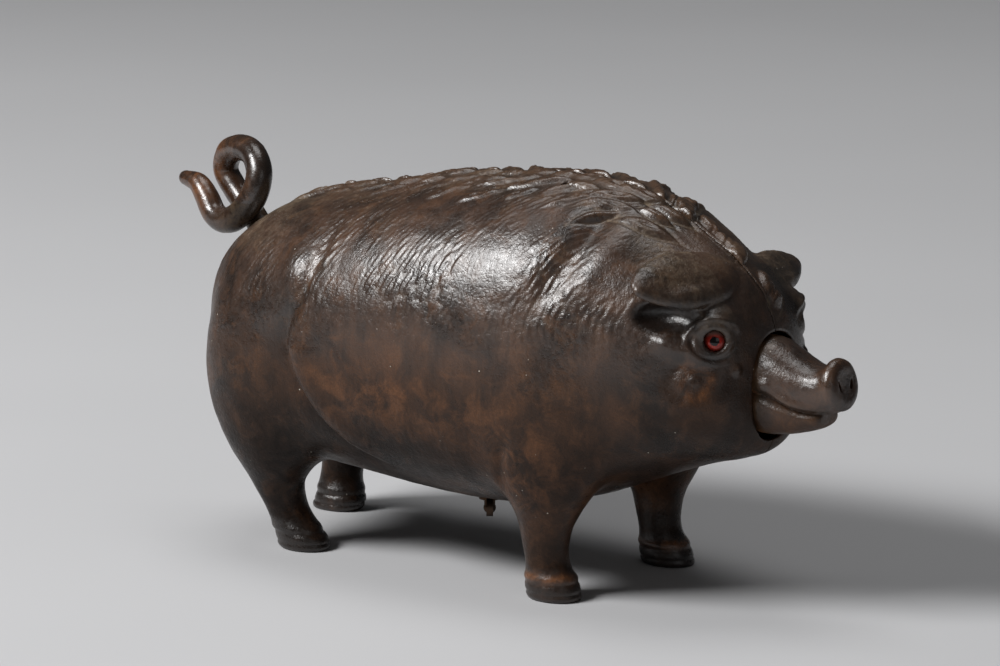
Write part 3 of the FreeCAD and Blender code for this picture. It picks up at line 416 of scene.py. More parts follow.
def normals_of(points, quads):
    """Unit normals of the points, facing outwards."""
    a, b, c, d = (points[quads[:, k]] for k in range(4))
    face = np.cross(c - a, d - b)
    outward = np.einsum("ij,ij->i", a - points.mean(axis=0), face).sum()
    normals = np.zeros_like(points)
    for axis in range(3):
        for corner in range(4):
            normals[:, axis] += np.bincount(quads[:, corner], face[:, axis], len(points))
    normals *= math.copysign(1.0, outward)
    return normals / (np.linalg.norm(normals, axis=1, keepdims=True) + 1e-9)


# -------- the cast body
def ear_axes(side):
    """Directions along the ear, across it, and out of its broad face."""
    face = unit(EAR_FACE)
    across = unit(np.cross(face, unit(EAR_DIRECTION)))
    along = np.cross(across, face)
    return mirrored(along, side), mirrored(across, side), mirrored(face, side)


def ear_field(f, side):
    """A thick leaf with a dished face."""
    centre = mirrored(EAR_CENTRE, side)
    length, width, thick = EAR_AXES
    if side > 0:
        centre[2] -= LEFT_EAR_DROP
        width = LEFT_EAR_HALF_WIDTH
    u, v, w = f.local(centre, ear_axes(side))
    s = np.clip(u / length, -0.98, 0.985)
    narrow = np.sqrt(1 - s * s) * (1 - 0.30 * np.maximum(s, 0) ** 1.5)
    value = np.sqrt((u / length) ** 2 * 0.02 + (v / (width * narrow)) ** 2
                    + (w / (thick * narrow)) ** 2)
    radial = np.sqrt(v * v + w * w + 1e-3)
    leaf = common(radial * (1 - 1 / (value + 1e-6)), np.abs(u) - length + 0.3, 1.6)
    valley = 1.0 * np.exp(-((v + 0.34 * width) / (0.22 * width)) ** 2 - ((u - 3.0) / 9.0) ** 2)
    dish = 0.7 * np.exp(-((v - 0.1 * width) / (0.42 * width)) ** 2 - ((u - 4.0) / 8.0) ** 2)
    return leaf + np.where(w > 0, valley + dish, 0.0).astype(np.float32)


def eye_axes(side):
    """Directions to the front, upwards, and out of the eye."""
    normal = mirrored(unit(EYE_NORMAL), side)
    front = unit(np.cross(np.array([0, 0, 1.0]), normal) * -side)
    up = unit(np.cross(normal, front)) * math.copysign(1.0, np.cross(normal, front)[2])
    return front, up, normal


def lids_field(f, side):
    """The thick almond-shaped lid round the glass, longest to the rear."""
    u, v, h = f.local(mirrored(EYE_CENTRE, side), eye_axes(side))
    stretch = np.where(u < 0, 1.32, 1.14)
    rho = np.sqrt((u / stretch) ** 2 + (v / np.where(v > 0, 1.06, 0.96)) ** 2)
    return np.sqrt((rho - 3.5) ** 2 + ((h - 0.2) / 1.5) ** 2) - 0.86


def swell(f, skin, side, swellings):
    for centre, radii, blend in swellings:
        skin = join(skin, f.ball(mirrored(centre, side), radii), blend)
    return skin


def skin_field(f, side):
    """Outside of one half, before any holes."""
    skin = f.loft(BODY)
    skin = common(skin, END_FACES[0] - f.x, 3.0)
    skin = common(skin, f.x - END_FACES[1], 3.0)
    skin = swell(f, skin, side, LIMB_SWELLINGS)
    for rows, left_shift in ((HIND_LEG, LEFT_HIND_SHIFT), (FRONT_LEG, LEFT_FRONT_SHIFT)):
        skin = join(skin, f.leg(rows, side, left_shift if side > 0 else (0, 0)), 6.0)
    skin = swell(f, skin, side, FACE_SWELLINGS)
    skin = less(skin, f.ball(mirrored(UNDER_EAR, side), UNDER_EAR_RADII), 1.6)
    skin = join(skin, ear_field(f, side), 1.5)
    skin = join(skin, lids_field(f, side), 0.7)
    skin = join(skin, f.ball(mirrored(WART, side), [WART_R] * 3), 1.2)
    skin = join(skin, f.ball(mirrored(PIMPLE, side), [PIMPLE_R] * 3), 1.0)
    return common(skin, -f.z, 0.5)


def add_posts(f, side, shell):
    """Posts inside for the joining screws, the pivot pins and the movement."""
    solid = f.loft(BODY)
    for x, z in JOINING_SCREWS:
        shell = join(shell, common(f.across(JOINING_POST_R, x, z), solid))
    for x, z in PIVOT_PINS:
        boss = common(f.across(PIN_BOSS_R, x, z), PIN_BOSS_Y - side * f.y)
        shell = join(shell, common(boss, solid))
    for x, y in CASE_SCREWS:
        post = common(f.upright(CASE_POST_R, x, side * y), f.z - CASE_POST_TOP)
        shell = join(shell, common(post, solid))
    return shell


def cut_openings(f, side, shell):
    """The snout's opening, the tail's slot, the eye's bore and the key's hole."""
    opening = f.loft([(70.0, *FACE_OPENING), (96.0, *FACE_OPENING)])
    shell = less(shell, common(opening, FACE_OPENING_REAR - f.x), 0.5)
    slot_z = np.clip(f.z, *TAIL_SLOT_Z)
    slot = common(np.sqrt(f.y ** 2 + (f.z - slot_z) ** 2) - TAIL_SLOT_R, f.x - TAIL_SLOT_END)
    shell = less(shell, slot, 0.5)
    u, v, h = f.local(mirrored(EYE_CENTRE, side), eye_axes(side))
    bore = common(np.sqrt(u * u + v * v) - EYE_R - EYE_FIT, -EYE_BORE_DEPTH - h)
    shell = less(shell, bore, 0.2)
    return less(shell, common(f.upright(BELLY_HOLE_R, BELLY_X, 0.0), f.z - BELLY_HOLE_TOP), 0.3)


def drill(f, side, shell):
    """Screw and pin bores.  The joining screws' heads are sunk in the left half."""
    for x, z in JOINING_SCREWS:
        if side > 0:
            shell = less(shell, f.across(JOINING_CLEAR_R, x, z))
            head = common(f.across(JOINING_HEAD_R, x, z), JOINING_HEAD_Y - f.y)
            shell = less(shell, head, 0.3)
        else:
            shell = less(shell, common(f.across(JOINING_THREAD_R, x, z), -JOINING_THREAD_Y - f.y))
    for x, z in PIVOT_PINS:
        shell = less(shell, common(f.across(PIN_BORE_R, x, z), side * f.y - PIN_BORE_END))
    for x, y in CASE_SCREWS:
        shell = less(shell, f.upright(CASE_CLEAR_R, x, side * y))
        shell = less(shell, common(f.upright(CASE_HEAD_R, x, side * y), f.z - CASE_HEAD_TOP))
    return shell


def half_field(f, side, skin):
    """One hollow half, with posts and holes.  The wall bulges inwards behind the ear's hollow."""
    hollow = f.loft(BODY[1:-1], inset=WALL)
    hollow = common(common(hollow, -87.0 - f.x), f.x - 87.0)
    behind_ear = f.ball(mirrored(UNDER_EAR, side), [r + WALL for r in UNDER_EAR_RADII])
    shell = less(skin, less(hollow, behind_ear))
    shell = add_posts(f, side, shell)
    shell = cut_openings(f, side, shell)
    shell = drill(f, side, shell)
    return common(shell, SEAM_HALF_GAP - side * f.y)


def body_column(x, k):
    """One column of the body's table, at these x."""
    return curve_through(x, [r[0] for r in BODY], [r[k] for r in BODY])


def back_point(x, y):
    """A point on the back, this far from the seam."""
    top, half, middle = [body_column(np.array([x]), k)[0] for k in (1, 3, 4)]
    z = middle + (top - middle) * (1 - min(abs(y) / half, 0.98) ** ROUNDNESS) ** (1 / ROUNDNESS)
    return np.array([x, y, z])


def lock_row(points, side, generator, row, turn, solid):
    """Height of one row of locks: bent almonds, some with a hollow middle, or solid beads."""
    offset, first, last, step, half_long, half_wide, tall = row
    total = np.zeros(len(points))
    x = first
    while x < last:
        jitter = generator.uniform(-1, 1, 6)
        centre = back_point(x + 1.2 * jitter[0], side * (offset + 0.9 * jitter[1]))
        ahead = back_point(x + 2.0, side * offset)
        behind = back_point(x - 2.0, side * offset)
        rearward = unit(behind - ahead)
        outward = unit(back_point(x, side * (offset + 2.0)) - back_point(x, side * (offset - 2.0)))
        normal = unit(np.cross(rearward, outward))
        angle = math.radians(turn + 15 * jitter[2])
        direction = math.cos(angle) * rearward + math.sin(angle) * outward
        crosswise = np.cross(direction, normal) * side
        long, wide = half_long * (1 + 0.25 * jitter[3]), half_wide * (1 + 0.25 * jitter[4])
        d = points - centre
        a, b = d @ direction / long, d @ crosswise / wide
        b = b + 0.5 * a * (1 - 0.4 * a)
        q = np.sqrt(a * a + (b / np.maximum(1 - 0.45 * a * a, 0.3)) ** 2)
        near = bell_shape(d @ normal, 4.5)
        dome = 1 - smooth_step(q, 0.25, 1.15)
        hollow = 0.0 if solid or jitter[4] < 0.1 else 0.75 * bell_shape(q, 0.42)
        groove = 0.28 * bell_shape(q - 1.3, 0.22)
        rise = tall * (1 + 0.25 * jitter[5]) * (dome - hollow - groove) * near
        total = np.maximum(total, rise) - tall * groove * near
        x += step * (1 + 0.2 * jitter[5])
    return total


def locks(points, side, generator):
    """Height of all the locks along the mane."""
    height = np.zeros(len(points))
    near = np.nonzero((np.abs(points[:, 1]) < 26) & (points[:, 2] > 70))[0]
    p = points[near]
    total = np.zeros(len(near))
    for row in LOCK_ROWS:
        total += lock_row(p, side, generator, row, 18 + 1.7 * row[0], False)
    if side > 0:
        total += lock_row(p, side, generator, FORELOCKS, 8, True)
    deepest, ceiling = LOCK_LIMITS
    height[near] = np.maximum(ceiling * np.tanh(total / ceiling), deepest)
    return height


def fur_strokes(points, down, wander, drift):
    """Height of the fur from 0 to 1, and how much of it there is at each point."""
    x = points[:, 0]
    lean = 1.55 * FUR_END / 3 * (1 - np.clip(1 - down / FUR_END, 0, 1) ** 3)
    across = x + lean + 1.7 * wander + 0.35 * lump_noise(points, 3.0, 4)
    fur = strokes(down * 1.25, across, 8.5, 1.9, 21)
    fur = np.maximum(fur, 0.75 * strokes(down * 1.25 + 2.0, across + 0.7, 5.2, 1.3, 22))
    coat = smooth_step(down, 3, 12) * (1 - smooth_step(down, 38 + 14 * drift, 66 + 12 * drift))
    coat = coat * smooth_step(x, -66, -34) * (1 - smooth_step(x, 66, 76))
    coat = coat * smooth_step(wander + 0.7 * drift, -1.0, 0.3)
    lower = 0.14 * smooth_step(down, 36, 60) * (1 - smooth_step(down, 84, 100))
    lower = lower * smooth_step(x, -60, -40) * (1 - smooth_step(x, 50, 66))
    rump = 0.25 * smooth_step(down, 4, 12) * (1 - smooth_step(down, 40, 60))
    rump = rump * (1 - smooth_step(x, -60, -40))
    return fur, np.clip(coat + lower + rump, 0, 1)


def folds(points):
    """The belly hangs over the thigh, the hip and cheek swell, the neck and elbow sink in."""
    x, y, z = points.T
    out = np.abs(y)
    flank = smooth_step(out, 12, 22)
    gap, share = line_distance(x, z, HAUNCH_LINE)
    size, rear = np.abs(gap), gap < 0
    fade = smooth_step(share, 0.30, 0.46) * (1 - smooth_step(share, 0.86, 1.0)) * flank
    moved = -1.9 * fade * np.where(rear, np.exp(-size / 7.0), bell_shape(gap, 1.7))
    moved += 0.9 * fade * np.where(rear, 0.0, bell_shape(size - 5.0, 4.0))
    fade = smooth_step(share, 0.0, 0.14) * (1 - smooth_step(share, 0.34, 0.5))
    moved -= 0.9 * fade * smooth_step(out, 8, 18) * bell_shape(gap, 2.4)
    moved += 1.3 * bell_shape(np.hypot(x - HIP_AT[0], z - HIP_AT[1]), 5.5) * flank
    gap, share = line_distance(x, z, NECK_LINE)
    fade = smooth_step(share, 0.0, 0.2) * (1 - smooth_step(share, 0.6, 1.0))
    fold = 0.5 * bell_shape(np.abs(gap) - 7.0, 4.0) - 1.3 * bell_shape(gap, 3.4)
    moved += fade * smooth_step(out, 6, 12) * fold
    gap, share = line_distance(x, z, CHEEK_LINE)
    moved += 1.4 * bell_shape(gap, 2.3) * smooth_step(share, 0.0, 0.3) * flank
    ring = np.hypot(x - CHEEK_HOLLOW_AT[0], z - CHEEK_HOLLOW_AT[1])
    moved -= 0.45 * bell_shape(ring - 4.2, 2.0) * flank
    gap, share = line_distance(x, z, ELBOW_LINE)
    fade = smooth_step(share, 0.0, 0.3) * (1 - smooth_step(share, 0.6, 1.0)) * flank
    return moved - 0.9 * fade * bell_shape(gap, 1.8)


def eye_rings(points, side):
    """Stretched distance from the eye's axis, how near the eye, and how far above it."""
    u, v, h = [(points - mirrored(EYE_CENTRE, side)) @ axis for axis in eye_axes(side)]
    near = bell_shape(h, 6.0) * (np.abs(h) < 8)
    return np.sqrt((u / 1.25) ** 2 + v ** 2), near, smooth_step(v, -1.0, 2.0)


def eye_folds(rho, near_eye, upper_lid):
    moved = -0.45 * bell_shape(rho - 4.7, 0.55) * near_eye
    moved += 0.42 * bell_shape(rho - 5.6, 0.7) * near_eye * (0.35 + 0.65 * upper_lid)
    return moved - 0.25 * bell_shape(rho - 6.7, 0.7) * near_eye * upper_lid


def hoof_bands(z, hoof):
    """A rim at the sole and a band above it."""
    moved = -0.30 * hoof * bell_shape(z - 2.0, 0.45)
    moved -= 0.22 * hoof * bell_shape(z - 4.7, 0.5)
    return moved + 0.20 * hoof * bell_shape(z - 6.0, 0.8)


def dust_on(points, side, mane, wander):
    """Dust in the mane's grooves, on the rump's top, along the back and on the ears."""
    x, y, z = points.T
    out = np.abs(y)
    dust = np.clip(-1.4 * mane, 0, 1) + 0.9 * bell_shape(x + 70, 15.0) * bell_shape(z - 91, 8.0)
    dust += 0.60 * bell_shape(out, 18.0) * smooth_step(z, 84, 92) * (0.6 + 0.4 * wander)
    from_ear = points - mirrored(EAR_CENTRE, side)
    along, _, face = ear_axes(side)
    near_ear = bell_shape(from_ear @ along, 13.0) * bell_shape(from_ear @ face, 5.0)
    return dust + 0.8 * near_ear * (out > 13)


def rust_on(points, side, hoof):
    """Rust round the wart, on the front hooves, at the elbow and low on the flank."""
    x, y, z = points.T
    out = np.abs(y)
    wart_gap = np.linalg.norm(points - mirrored(WART, side), axis=1)
    rust = 0.5 * bell_shape(wart_gap - 4.0, 1.4) + 0.9 * hoof * bell_shape(z - 6.2, 1.4) * (x > 0)
    rust += 0.45 * bell_shape(np.hypot(x - 36, z - 36), 15.0) * (out > 14)
    return rust + 0.35 * bell_shape((x + 6) / 1.8, 14.0) * bell_shape(z - 50, 11.0) * (out > 20)


def darkening_and_painted_shade_on(points, side, drift, rust, lid_groove):
    """Near-black: darker low down, on the head and at the rump's end, with painted shade under the
    ear and round the lids.
    """
    x, y, z = points.T
    low = 0.92 * (1 - smooth_step(z + 5.0 * drift, 30, 58))
    low = low * (1 - 0.5 * bell_shape(z - 20, 9.0) * (x > 0))
    head = 0.62 * smooth_step(x + 4.0 * drift, 58, 74) * (1 - smooth_step(z, 84, 92))
    rump = 0.7 * (1 - smooth_step(x + 3.0 * drift, -86, -66)) * (1 - smooth_step(z, 66, 82))
    # Painted shade: the hollow under the ear is darkened as if the ear shaded it.
    under = np.linalg.norm((points - mirrored(UNDER_EAR, side)) / UNDER_EAR_RADII, axis=1)
    hollow = 1 - smooth_step(under, 0.95, 1.35)
    # Painted shade also darkens the groove round the lids; low, head and rump only make those
    # places darker.
    darkening_and_painted_shade = np.max([low, head, rump, hollow, 0.8 * lid_groove], axis=0)
    return darkening_and_painted_shade * (1 - 0.6 * np.clip(rust, 0, 1))


def carve(points, side):
    """How far each point of the skin moves outwards, and the values its patina is painted by."""
    x, y, z = points.T
    out = np.abs(y)
    down = FLANK_GIRTH * np.arctan2(out, z - body_column(x, 4))  # way down from the seam
    wander, drift = lump_noise(points, 11.0, 3), lump_noise(points, 22.0, 8)
    along = smooth_step(x, -68, -58) * (z > 60)
    hoof = 1 - smooth_step(z, 7.0, 9.5)
    rho, near_eye, upper_lid = eye_rings(points, side)

    fur, fur_mask = fur_strokes(points, down, wander, drift)
    mane = locks(points, side, np.random.default_rng(LOCK_SEEDS[side])) * along
    moved = 0.52 * fur_mask * (fur - 0.35) + mane
    moved += 0.6 * bell_shape(out, 7.0) * along
    moved += 0.34 * bell_shape(out - 0.55, 0.42) * (z > 68) * smooth_step(x, -74, -60)
    moved += folds(points) + eye_folds(rho, near_eye, upper_lid) + hoof_bands(z, hoof)
    moved += 0.30 * lump_noise(points, 15.0, 5) * smooth_step(out, 4, 12)
    moved += 0.10 * lump_noise(points, 4.2, 6)
    moved *= 1 - smooth_step(x, 85.0, 87.5)  # smooth at the snout's opening

    relief = 0.55 * (fur - 0.45) * fur_mask + 0.75 * mane
    relief += 0.5 * bell_shape(out - 0.5, 0.4) * (z > 68) * along
    rust = rust_on(points, side, hoof)
    # The groove round the lid, darkened as painted shade.
    lid_groove = bell_shape(rho - 4.7, 0.5) * near_eye
    return moved, {"relief": relief, "dust": dust_on(points, side, mane, wander), "rust": rust,
                   "darkening_and_painted_shade": darkening_and_painted_shade_on(points, side, drift, rust, lid_groove),
                   "polish": np.maximum(smooth_step(z, 52, 74), 0.8 * hoof)}


def body_half(side):
    name = "pig_half_left" if side > 0 else "pig_half_right"
    low_y, high_y = sorted((side * -1.2, side * 50.5))
    f = Field((-93.0, low_y, -1.5), (94.0, high_y, 110.5), BODY_VOXEL)
    skin = skin_field(f, side)
    points, quads, normals = f.surface(half_field(f, side, skin))
    on_skin = smooth_step(f.sample(skin, points), -0.55, -0.12)
    moved, looks = carve(points, side)
    moved = moved * on_skin * (1 - smooth_step(-points[:, 2], -0.4, 0.0))
    shaped = points + normals * moved[:, None]
    shaped[:, 1] = side * np.maximum(side * shaped[:, 1], SEAM_HALF_GAP)
    shaped[:, 2] = np.maximum(shaped[:, 2], 0.0)
    looks = {label: values * on_skin for label, values in looks.items()}
    looks["inside"] = 1 - on_skin
    return mesh_piece(name, shaped, quads, looks)


# -------- snout and tail
def mouth(f, head, side):
    """One side of the mouth: an overhanging lip, a groove, and a swelling over its corner."""
    line = [(x, side * y, z) for x, y, z in MOUTH]
    lip = [(x, side * (y - 0.9), z + 1.5) for x, y, z in MOUTH[2:]]
    head = join(head, f.tube(lip, LIP_RADII), 1.2)
    head = less(head, f.tube(line, MOUTH_RADII), 0.5)
    return join(head, f.ball((91.4, side * 8.2, 61.4), (2.2, 1.7, 1.5)), 1.2)


def nose(f, head):
    """The nose's rolled disc, dished, with two slanting nostrils."""
    axes = [unit((1.0, 0.0, NOSE_LEAN)), np.array([0.0, 1.0, 0.0]), unit((-NOSE_LEAN, 0.0, 1.0))]
    u, v, w = f.local(NOSE_CENTRE, axes)
    ring = np.sqrt((v / NOSE_RADII[0]) ** 2 + (w / NOSE_RADII[1]) ** 2 + 1e-6)
    ring_gap = np.sqrt(v * v + w * w + 1e-3) * (1 - 1 / ring)
    head = join(head, common(ring_gap, np.abs(u - 0.2) - 2.1, 2.9), 1.4)
    dish = np.sqrt((u - 3.0) ** 2 + (v / 3.8) ** 2 + (w / 3.6) ** 2)
    head = less(head, (dish - 1.0) * 1.6, 0.8)
    for side in (-1, 1):
        slant = v - side * (2.6 + 0.25 * (w + 0.3))
        nostril = np.sqrt((slant / 0.55) ** 2 + ((w + 0.3) / 1.4) ** 2) - 1.0
        head = less(head, common(nostril * 0.7, 0.4 - u), 0.4)
    return head


def tongue(f):
    """The lug that is riveted to the snout's lever."""
    dx, dy, dz = [np.abs(axis - middle) - half
                  for axis, middle, half in zip((f.x, f.y, f.z), TONGUE_CENTRE, TONGUE_HALF)]
    lug = common(common(dy, dz), dx)
    for rivet_x, rivet_z in RIVETS:
        lug = less(lug, f.across(RIVET_HOLE_R, rivet_x, rivet_z))
    return lug


def snout():
    f = Field((77.5, -12.0, 44.0), (113.5, 12.0, 73.5), FINE_VOXEL)
    upper = common(common(f.loft(UPPER_SNOUT), SNOUT_REAR - f.x), f.x - UPPER_FRONT, 1.0)
    jaw = common(common(f.loft(JAW), SNOUT_REAR - f.x), f.x - JAW_FRONT, 1.6)
    head = join(upper, jaw, 0.5)
    for side in (-1, 1):
        head = mouth(f, head, side)
    head = join(nose(f, head), tongue(f))
    points, quads, normals = f.surface(head)
    x, y, z = points.T
    moved = (0.14 * lump_noise(points, 5.0, 31) + 0.05 * lump_noise(points, 1.8, 32)) \
        * smooth_step(x, 88.0, 91.0)
    mouth_gap = np.min([np.linalg.norm(points - np.array((px, side * py, pz)), axis=1)
                        for px, py, pz in MOUTH for side in (-1, 1)], axis=0)
    looks = {"relief": 0.5 * bell_shape(x - 109.0, 2.5) * (z > 58),
             "dust": 0.5 * bell_shape(x - 88.0, 3.0) + 0.35 * bell_shape(mouth_gap, 2.0),
             "rust": 1.1 * bell_shape(x - 87.3, 1.4),
             # Painted shade along the mouth's groove and on the nose's front face.
             "darkening_and_painted_shade": 0.9 * bell_shape(mouth_gap, 1.5) + 0.7 * smooth_step(x, 109.6, 110.6),
             "polish": smooth_step(z, 50, 60),
             "inside": 1 - smooth_step(x, 85.0, 86.5)}
    return mesh_piece("pig_snout", points + normals * moved[:, None], quads, looks)


def tail():
    at = np.linspace(0, len(TAIL) - 1, 121)
    columns = [curve_through(at, range(len(TAIL)), column) for column in zip(*TAIL)]
    line = np.stack(columns, axis=1)
    share = at / at[-1]
    root, loop, tip = TAIL_R
    first_half = root + (loop - root) * 2 * share
    second_half = loop + (tip - loop) * (2 * share - 1) ** 4
    radii = np.where(share < 0.5, first_half, second_half)
    radii = radii * (1 + 0.03 * np.sin(23 * share) * smooth_step(share, 0.15, 0.3))
    f = Field(line.min(axis=0) - 5.0, line.max(axis=0) + 5.0, FINE_VOXEL)
    forward, sideways = unit(line[0] - line[6]), np.array([0.0, 1.0, 0.0])
    u, v, w = f.local(line[0], [forward, sideways, np.cross(forward, sideways)])
    curl = common(f.tube(line, radii), u)
    stud = common(common(np.sqrt(v * v + w * w) - TAIL_STUD_R, u - TAIL_STUD_LENGTH), -0.6 - u)
    points, quads, normals = f.surface(join(curl, stud))
    x, y, z = points.T
    moved = (0.12 * lump_noise(points, 4.5, 41) + 0.04 * lump_noise(points, 1.6, 42)) * (x < -82.0)
    # Near the root: dust, and painted shade where the tail meets the body under its loop.
    near_root = bell_shape(x + 84.0, 6.0) * (z < 90)
    looks = {"relief": 0.25 * bell_shape(z - 104.0, 3.0), "dust": 0.7 * near_root,
             "rust": 0.5 * smooth_step(-x, 94, 100), "darkening_and_painted_shade": 0.6 * near_root,
             "polish": 1 - near_root, "inside": 0 * near_root}
    return mesh_piece("pig_tail", points + normals * moved[:, None], quads, looks)


# -------- eyes
def glass_eye(side):
    """A turned glass stud with a domed front.  Its iris is painted by distance from its axis."""
    rear, front, steps, turns = -3.55, 0.4, 26, 72
    crown = front - math.sqrt(EYE_DOME_R ** 2 - EYE_R ** 2) + EYE_DOME_R
    profile = [(0.002, rear), (EYE_R - 0.25, rear), (EYE_R, rear + 0.25), (EYE_R, front - 0.15)]
    for k in range(steps + 1):
        angle = math.asin(EYE_R / EYE_DOME_R) * (1 - k / steps)
        r = max(EYE_DOME_R * math.sin(angle), 0.002)
        profile.append((r, crown - EYE_DOME_R * (1 - math.cos(angle))))
    centre = mirrored(EYE_CENTRE, side)
    front_axis, up_axis, normal = eye_axes(side)
    points, quads = [], []
    for r, h in profile:
        for t in range(turns):
            angle = 2 * math.pi * t / turns
            spoke = math.cos(angle) * front_axis + math.sin(angle) * up_axis
            points.append(centre + r * spoke + h * normal)
    for ring in range(len(profile) - 1):
        for t in range(turns):
            a, b = ring * turns + t, ring * turns + (t + 1) % turns
            quads.append((a, b, b + turns, a + turns))
    points, quads = np.array(points), np.array(quads)
    d = points - centre
    off_axis = np.linalg.norm(d - (d @ normal)[:, None] * normal, axis=1)
    # The height above the axis places the painted highlight on the iris's upper part.
    looks = {"off_axis": off_axis / EYE_R, "height": (d @ up_axis) / EYE_R}
    return mesh_piece("pig_eye_left" if side > 0 else "pig_eye_right", points, quads, looks)


# -------- materials
class Material:
    """A small builder of node materials.  Sockets are named as in the interface."""

    def __init__(self, name):
        self.data = bpy.data.materials.new(name)
        self.data.use_nodes = True
        self.tree = self.data.node_tree
        self.shader = self.tree.nodes["Principled BSDF"]
        self.place = self.add("ShaderNodeTexCoord").outputs["Object"]

    def add(self, kind, **settings):
        made = self.tree.nodes.new(kind)
        for key, value in settings.items():
            setattr(made, key, value)
        return made

    def link(self, start, end):
        self.tree.links.new(start, end)

    def set(self, **values):
        for key, value in values.items():
            self.shader.inputs[key.replace("_", " ")].default_value = value

    def noise(self, scale, detail=4.0, rough=0.55, distortion=0.0, stretch=None):
        made = self.add("ShaderNodeTexNoise")
        made.inputs["Scale"].default_value = scale
        made.inputs["Detail"].default_value = detail
        made.inputs["Roughness"].default_value = rough
        made.inputs["Distortion"].default_value = distortion
        source = self.place
        if stretch:
            mapping = self.add("ShaderNodeMapping")
            mapping.inputs["Scale"].default_value = stretch
            self.link(source, mapping.inputs["Vector"])
            source = mapping.outputs["Vector"]
        self.link(source, made.inputs["Vector"])
        return made.outputs["Fac"]

    def specks(self, scale, radius):
        """One on scattered specks, nought between them."""
        made = self.add("ShaderNodeTexVoronoi")
        made.inputs["Scale"].default_value = scale
        self.link(self.place, made.inputs["Vector"])
        return self.spread(made.outputs["Distance"], radius, radius * 0.6, 0.0, 1.0)

    def attribute(self, name):
        return self.add("ShaderNodeAttribute", attribute_name=name).outputs["Fac"]

    def spread(self, value, low, high, to_low=0.0, to_high=1.0):
        made = self.add("ShaderNodeMapRange")
        keys = ("From Min", "From Max", "To Min", "To Max")
        for key, number in zip(keys, (low, high, to_low, to_high)):
            made.inputs[key].default_value = number
        self.link(value, made.inputs["Value"])
        return made.outputs["Result"]

    def maths(self, operation, a, b=None):
        made = self.add("ShaderNodeMath", operation=operation)
        for socket, value in zip(made.inputs, (a, b)):
            if value is None:
                continue
            if isinstance(value, (int, float)):
                socket.default_value = value
            else:
                self.link(value, socket)
        return made.outputs[0]

    def mix(self, factor, a, b):
        made = self.add("ShaderNodeMix", data_type="RGBA")
        for socket, value in ((made.inputs[0], factor), (made.inputs[6], a), (made.inputs[7], b)):
            if isinstance(value, tuple):
                socket.default_value = (*value, 1.0)
            elif isinstance(value, (int, float)):
                socket.default_value = value
            else:
                self.link(value, socket)
        return made.outputs[2]

    def bump(self, height, distance, strength=1.0, under=None):
        made = self.add("ShaderNodeBump")
        made.inputs["Distance"].default_value = distance
        made.inputs["Strength"].default_value = strength
        self.link(height, made.inputs["Height"])
        if under:
            self.link(under, made.inputs["Normal"])
        return made.outputs["Normal"]


DARK_BROWN, BROWN = (0.020, 0.0110, 0.0070), (0.076, 0.034, 0.016)
RUSTY_BROWN, RUST = (0.125, 0.054, 0.022), (0.24, 0.094, 0.034)
STREAK_BROWN, WORN_BROWN = (0.018, 0.0105, 0.0070), (0.16, 0.085, 0.048)
DUST, SPECK = (0.215, 0.150, 0.088), (0.60, 0.55, 0.47)
# The near-black of the darkening and of the painted shade.
PIT_BLACK, DARKENING_AND_PAINTED_SHADE, INSIDE = (0.010, 0.006, 0.004), (0.0085, 0.0058, 0.0045), (0.022, 0.015, 0.011)


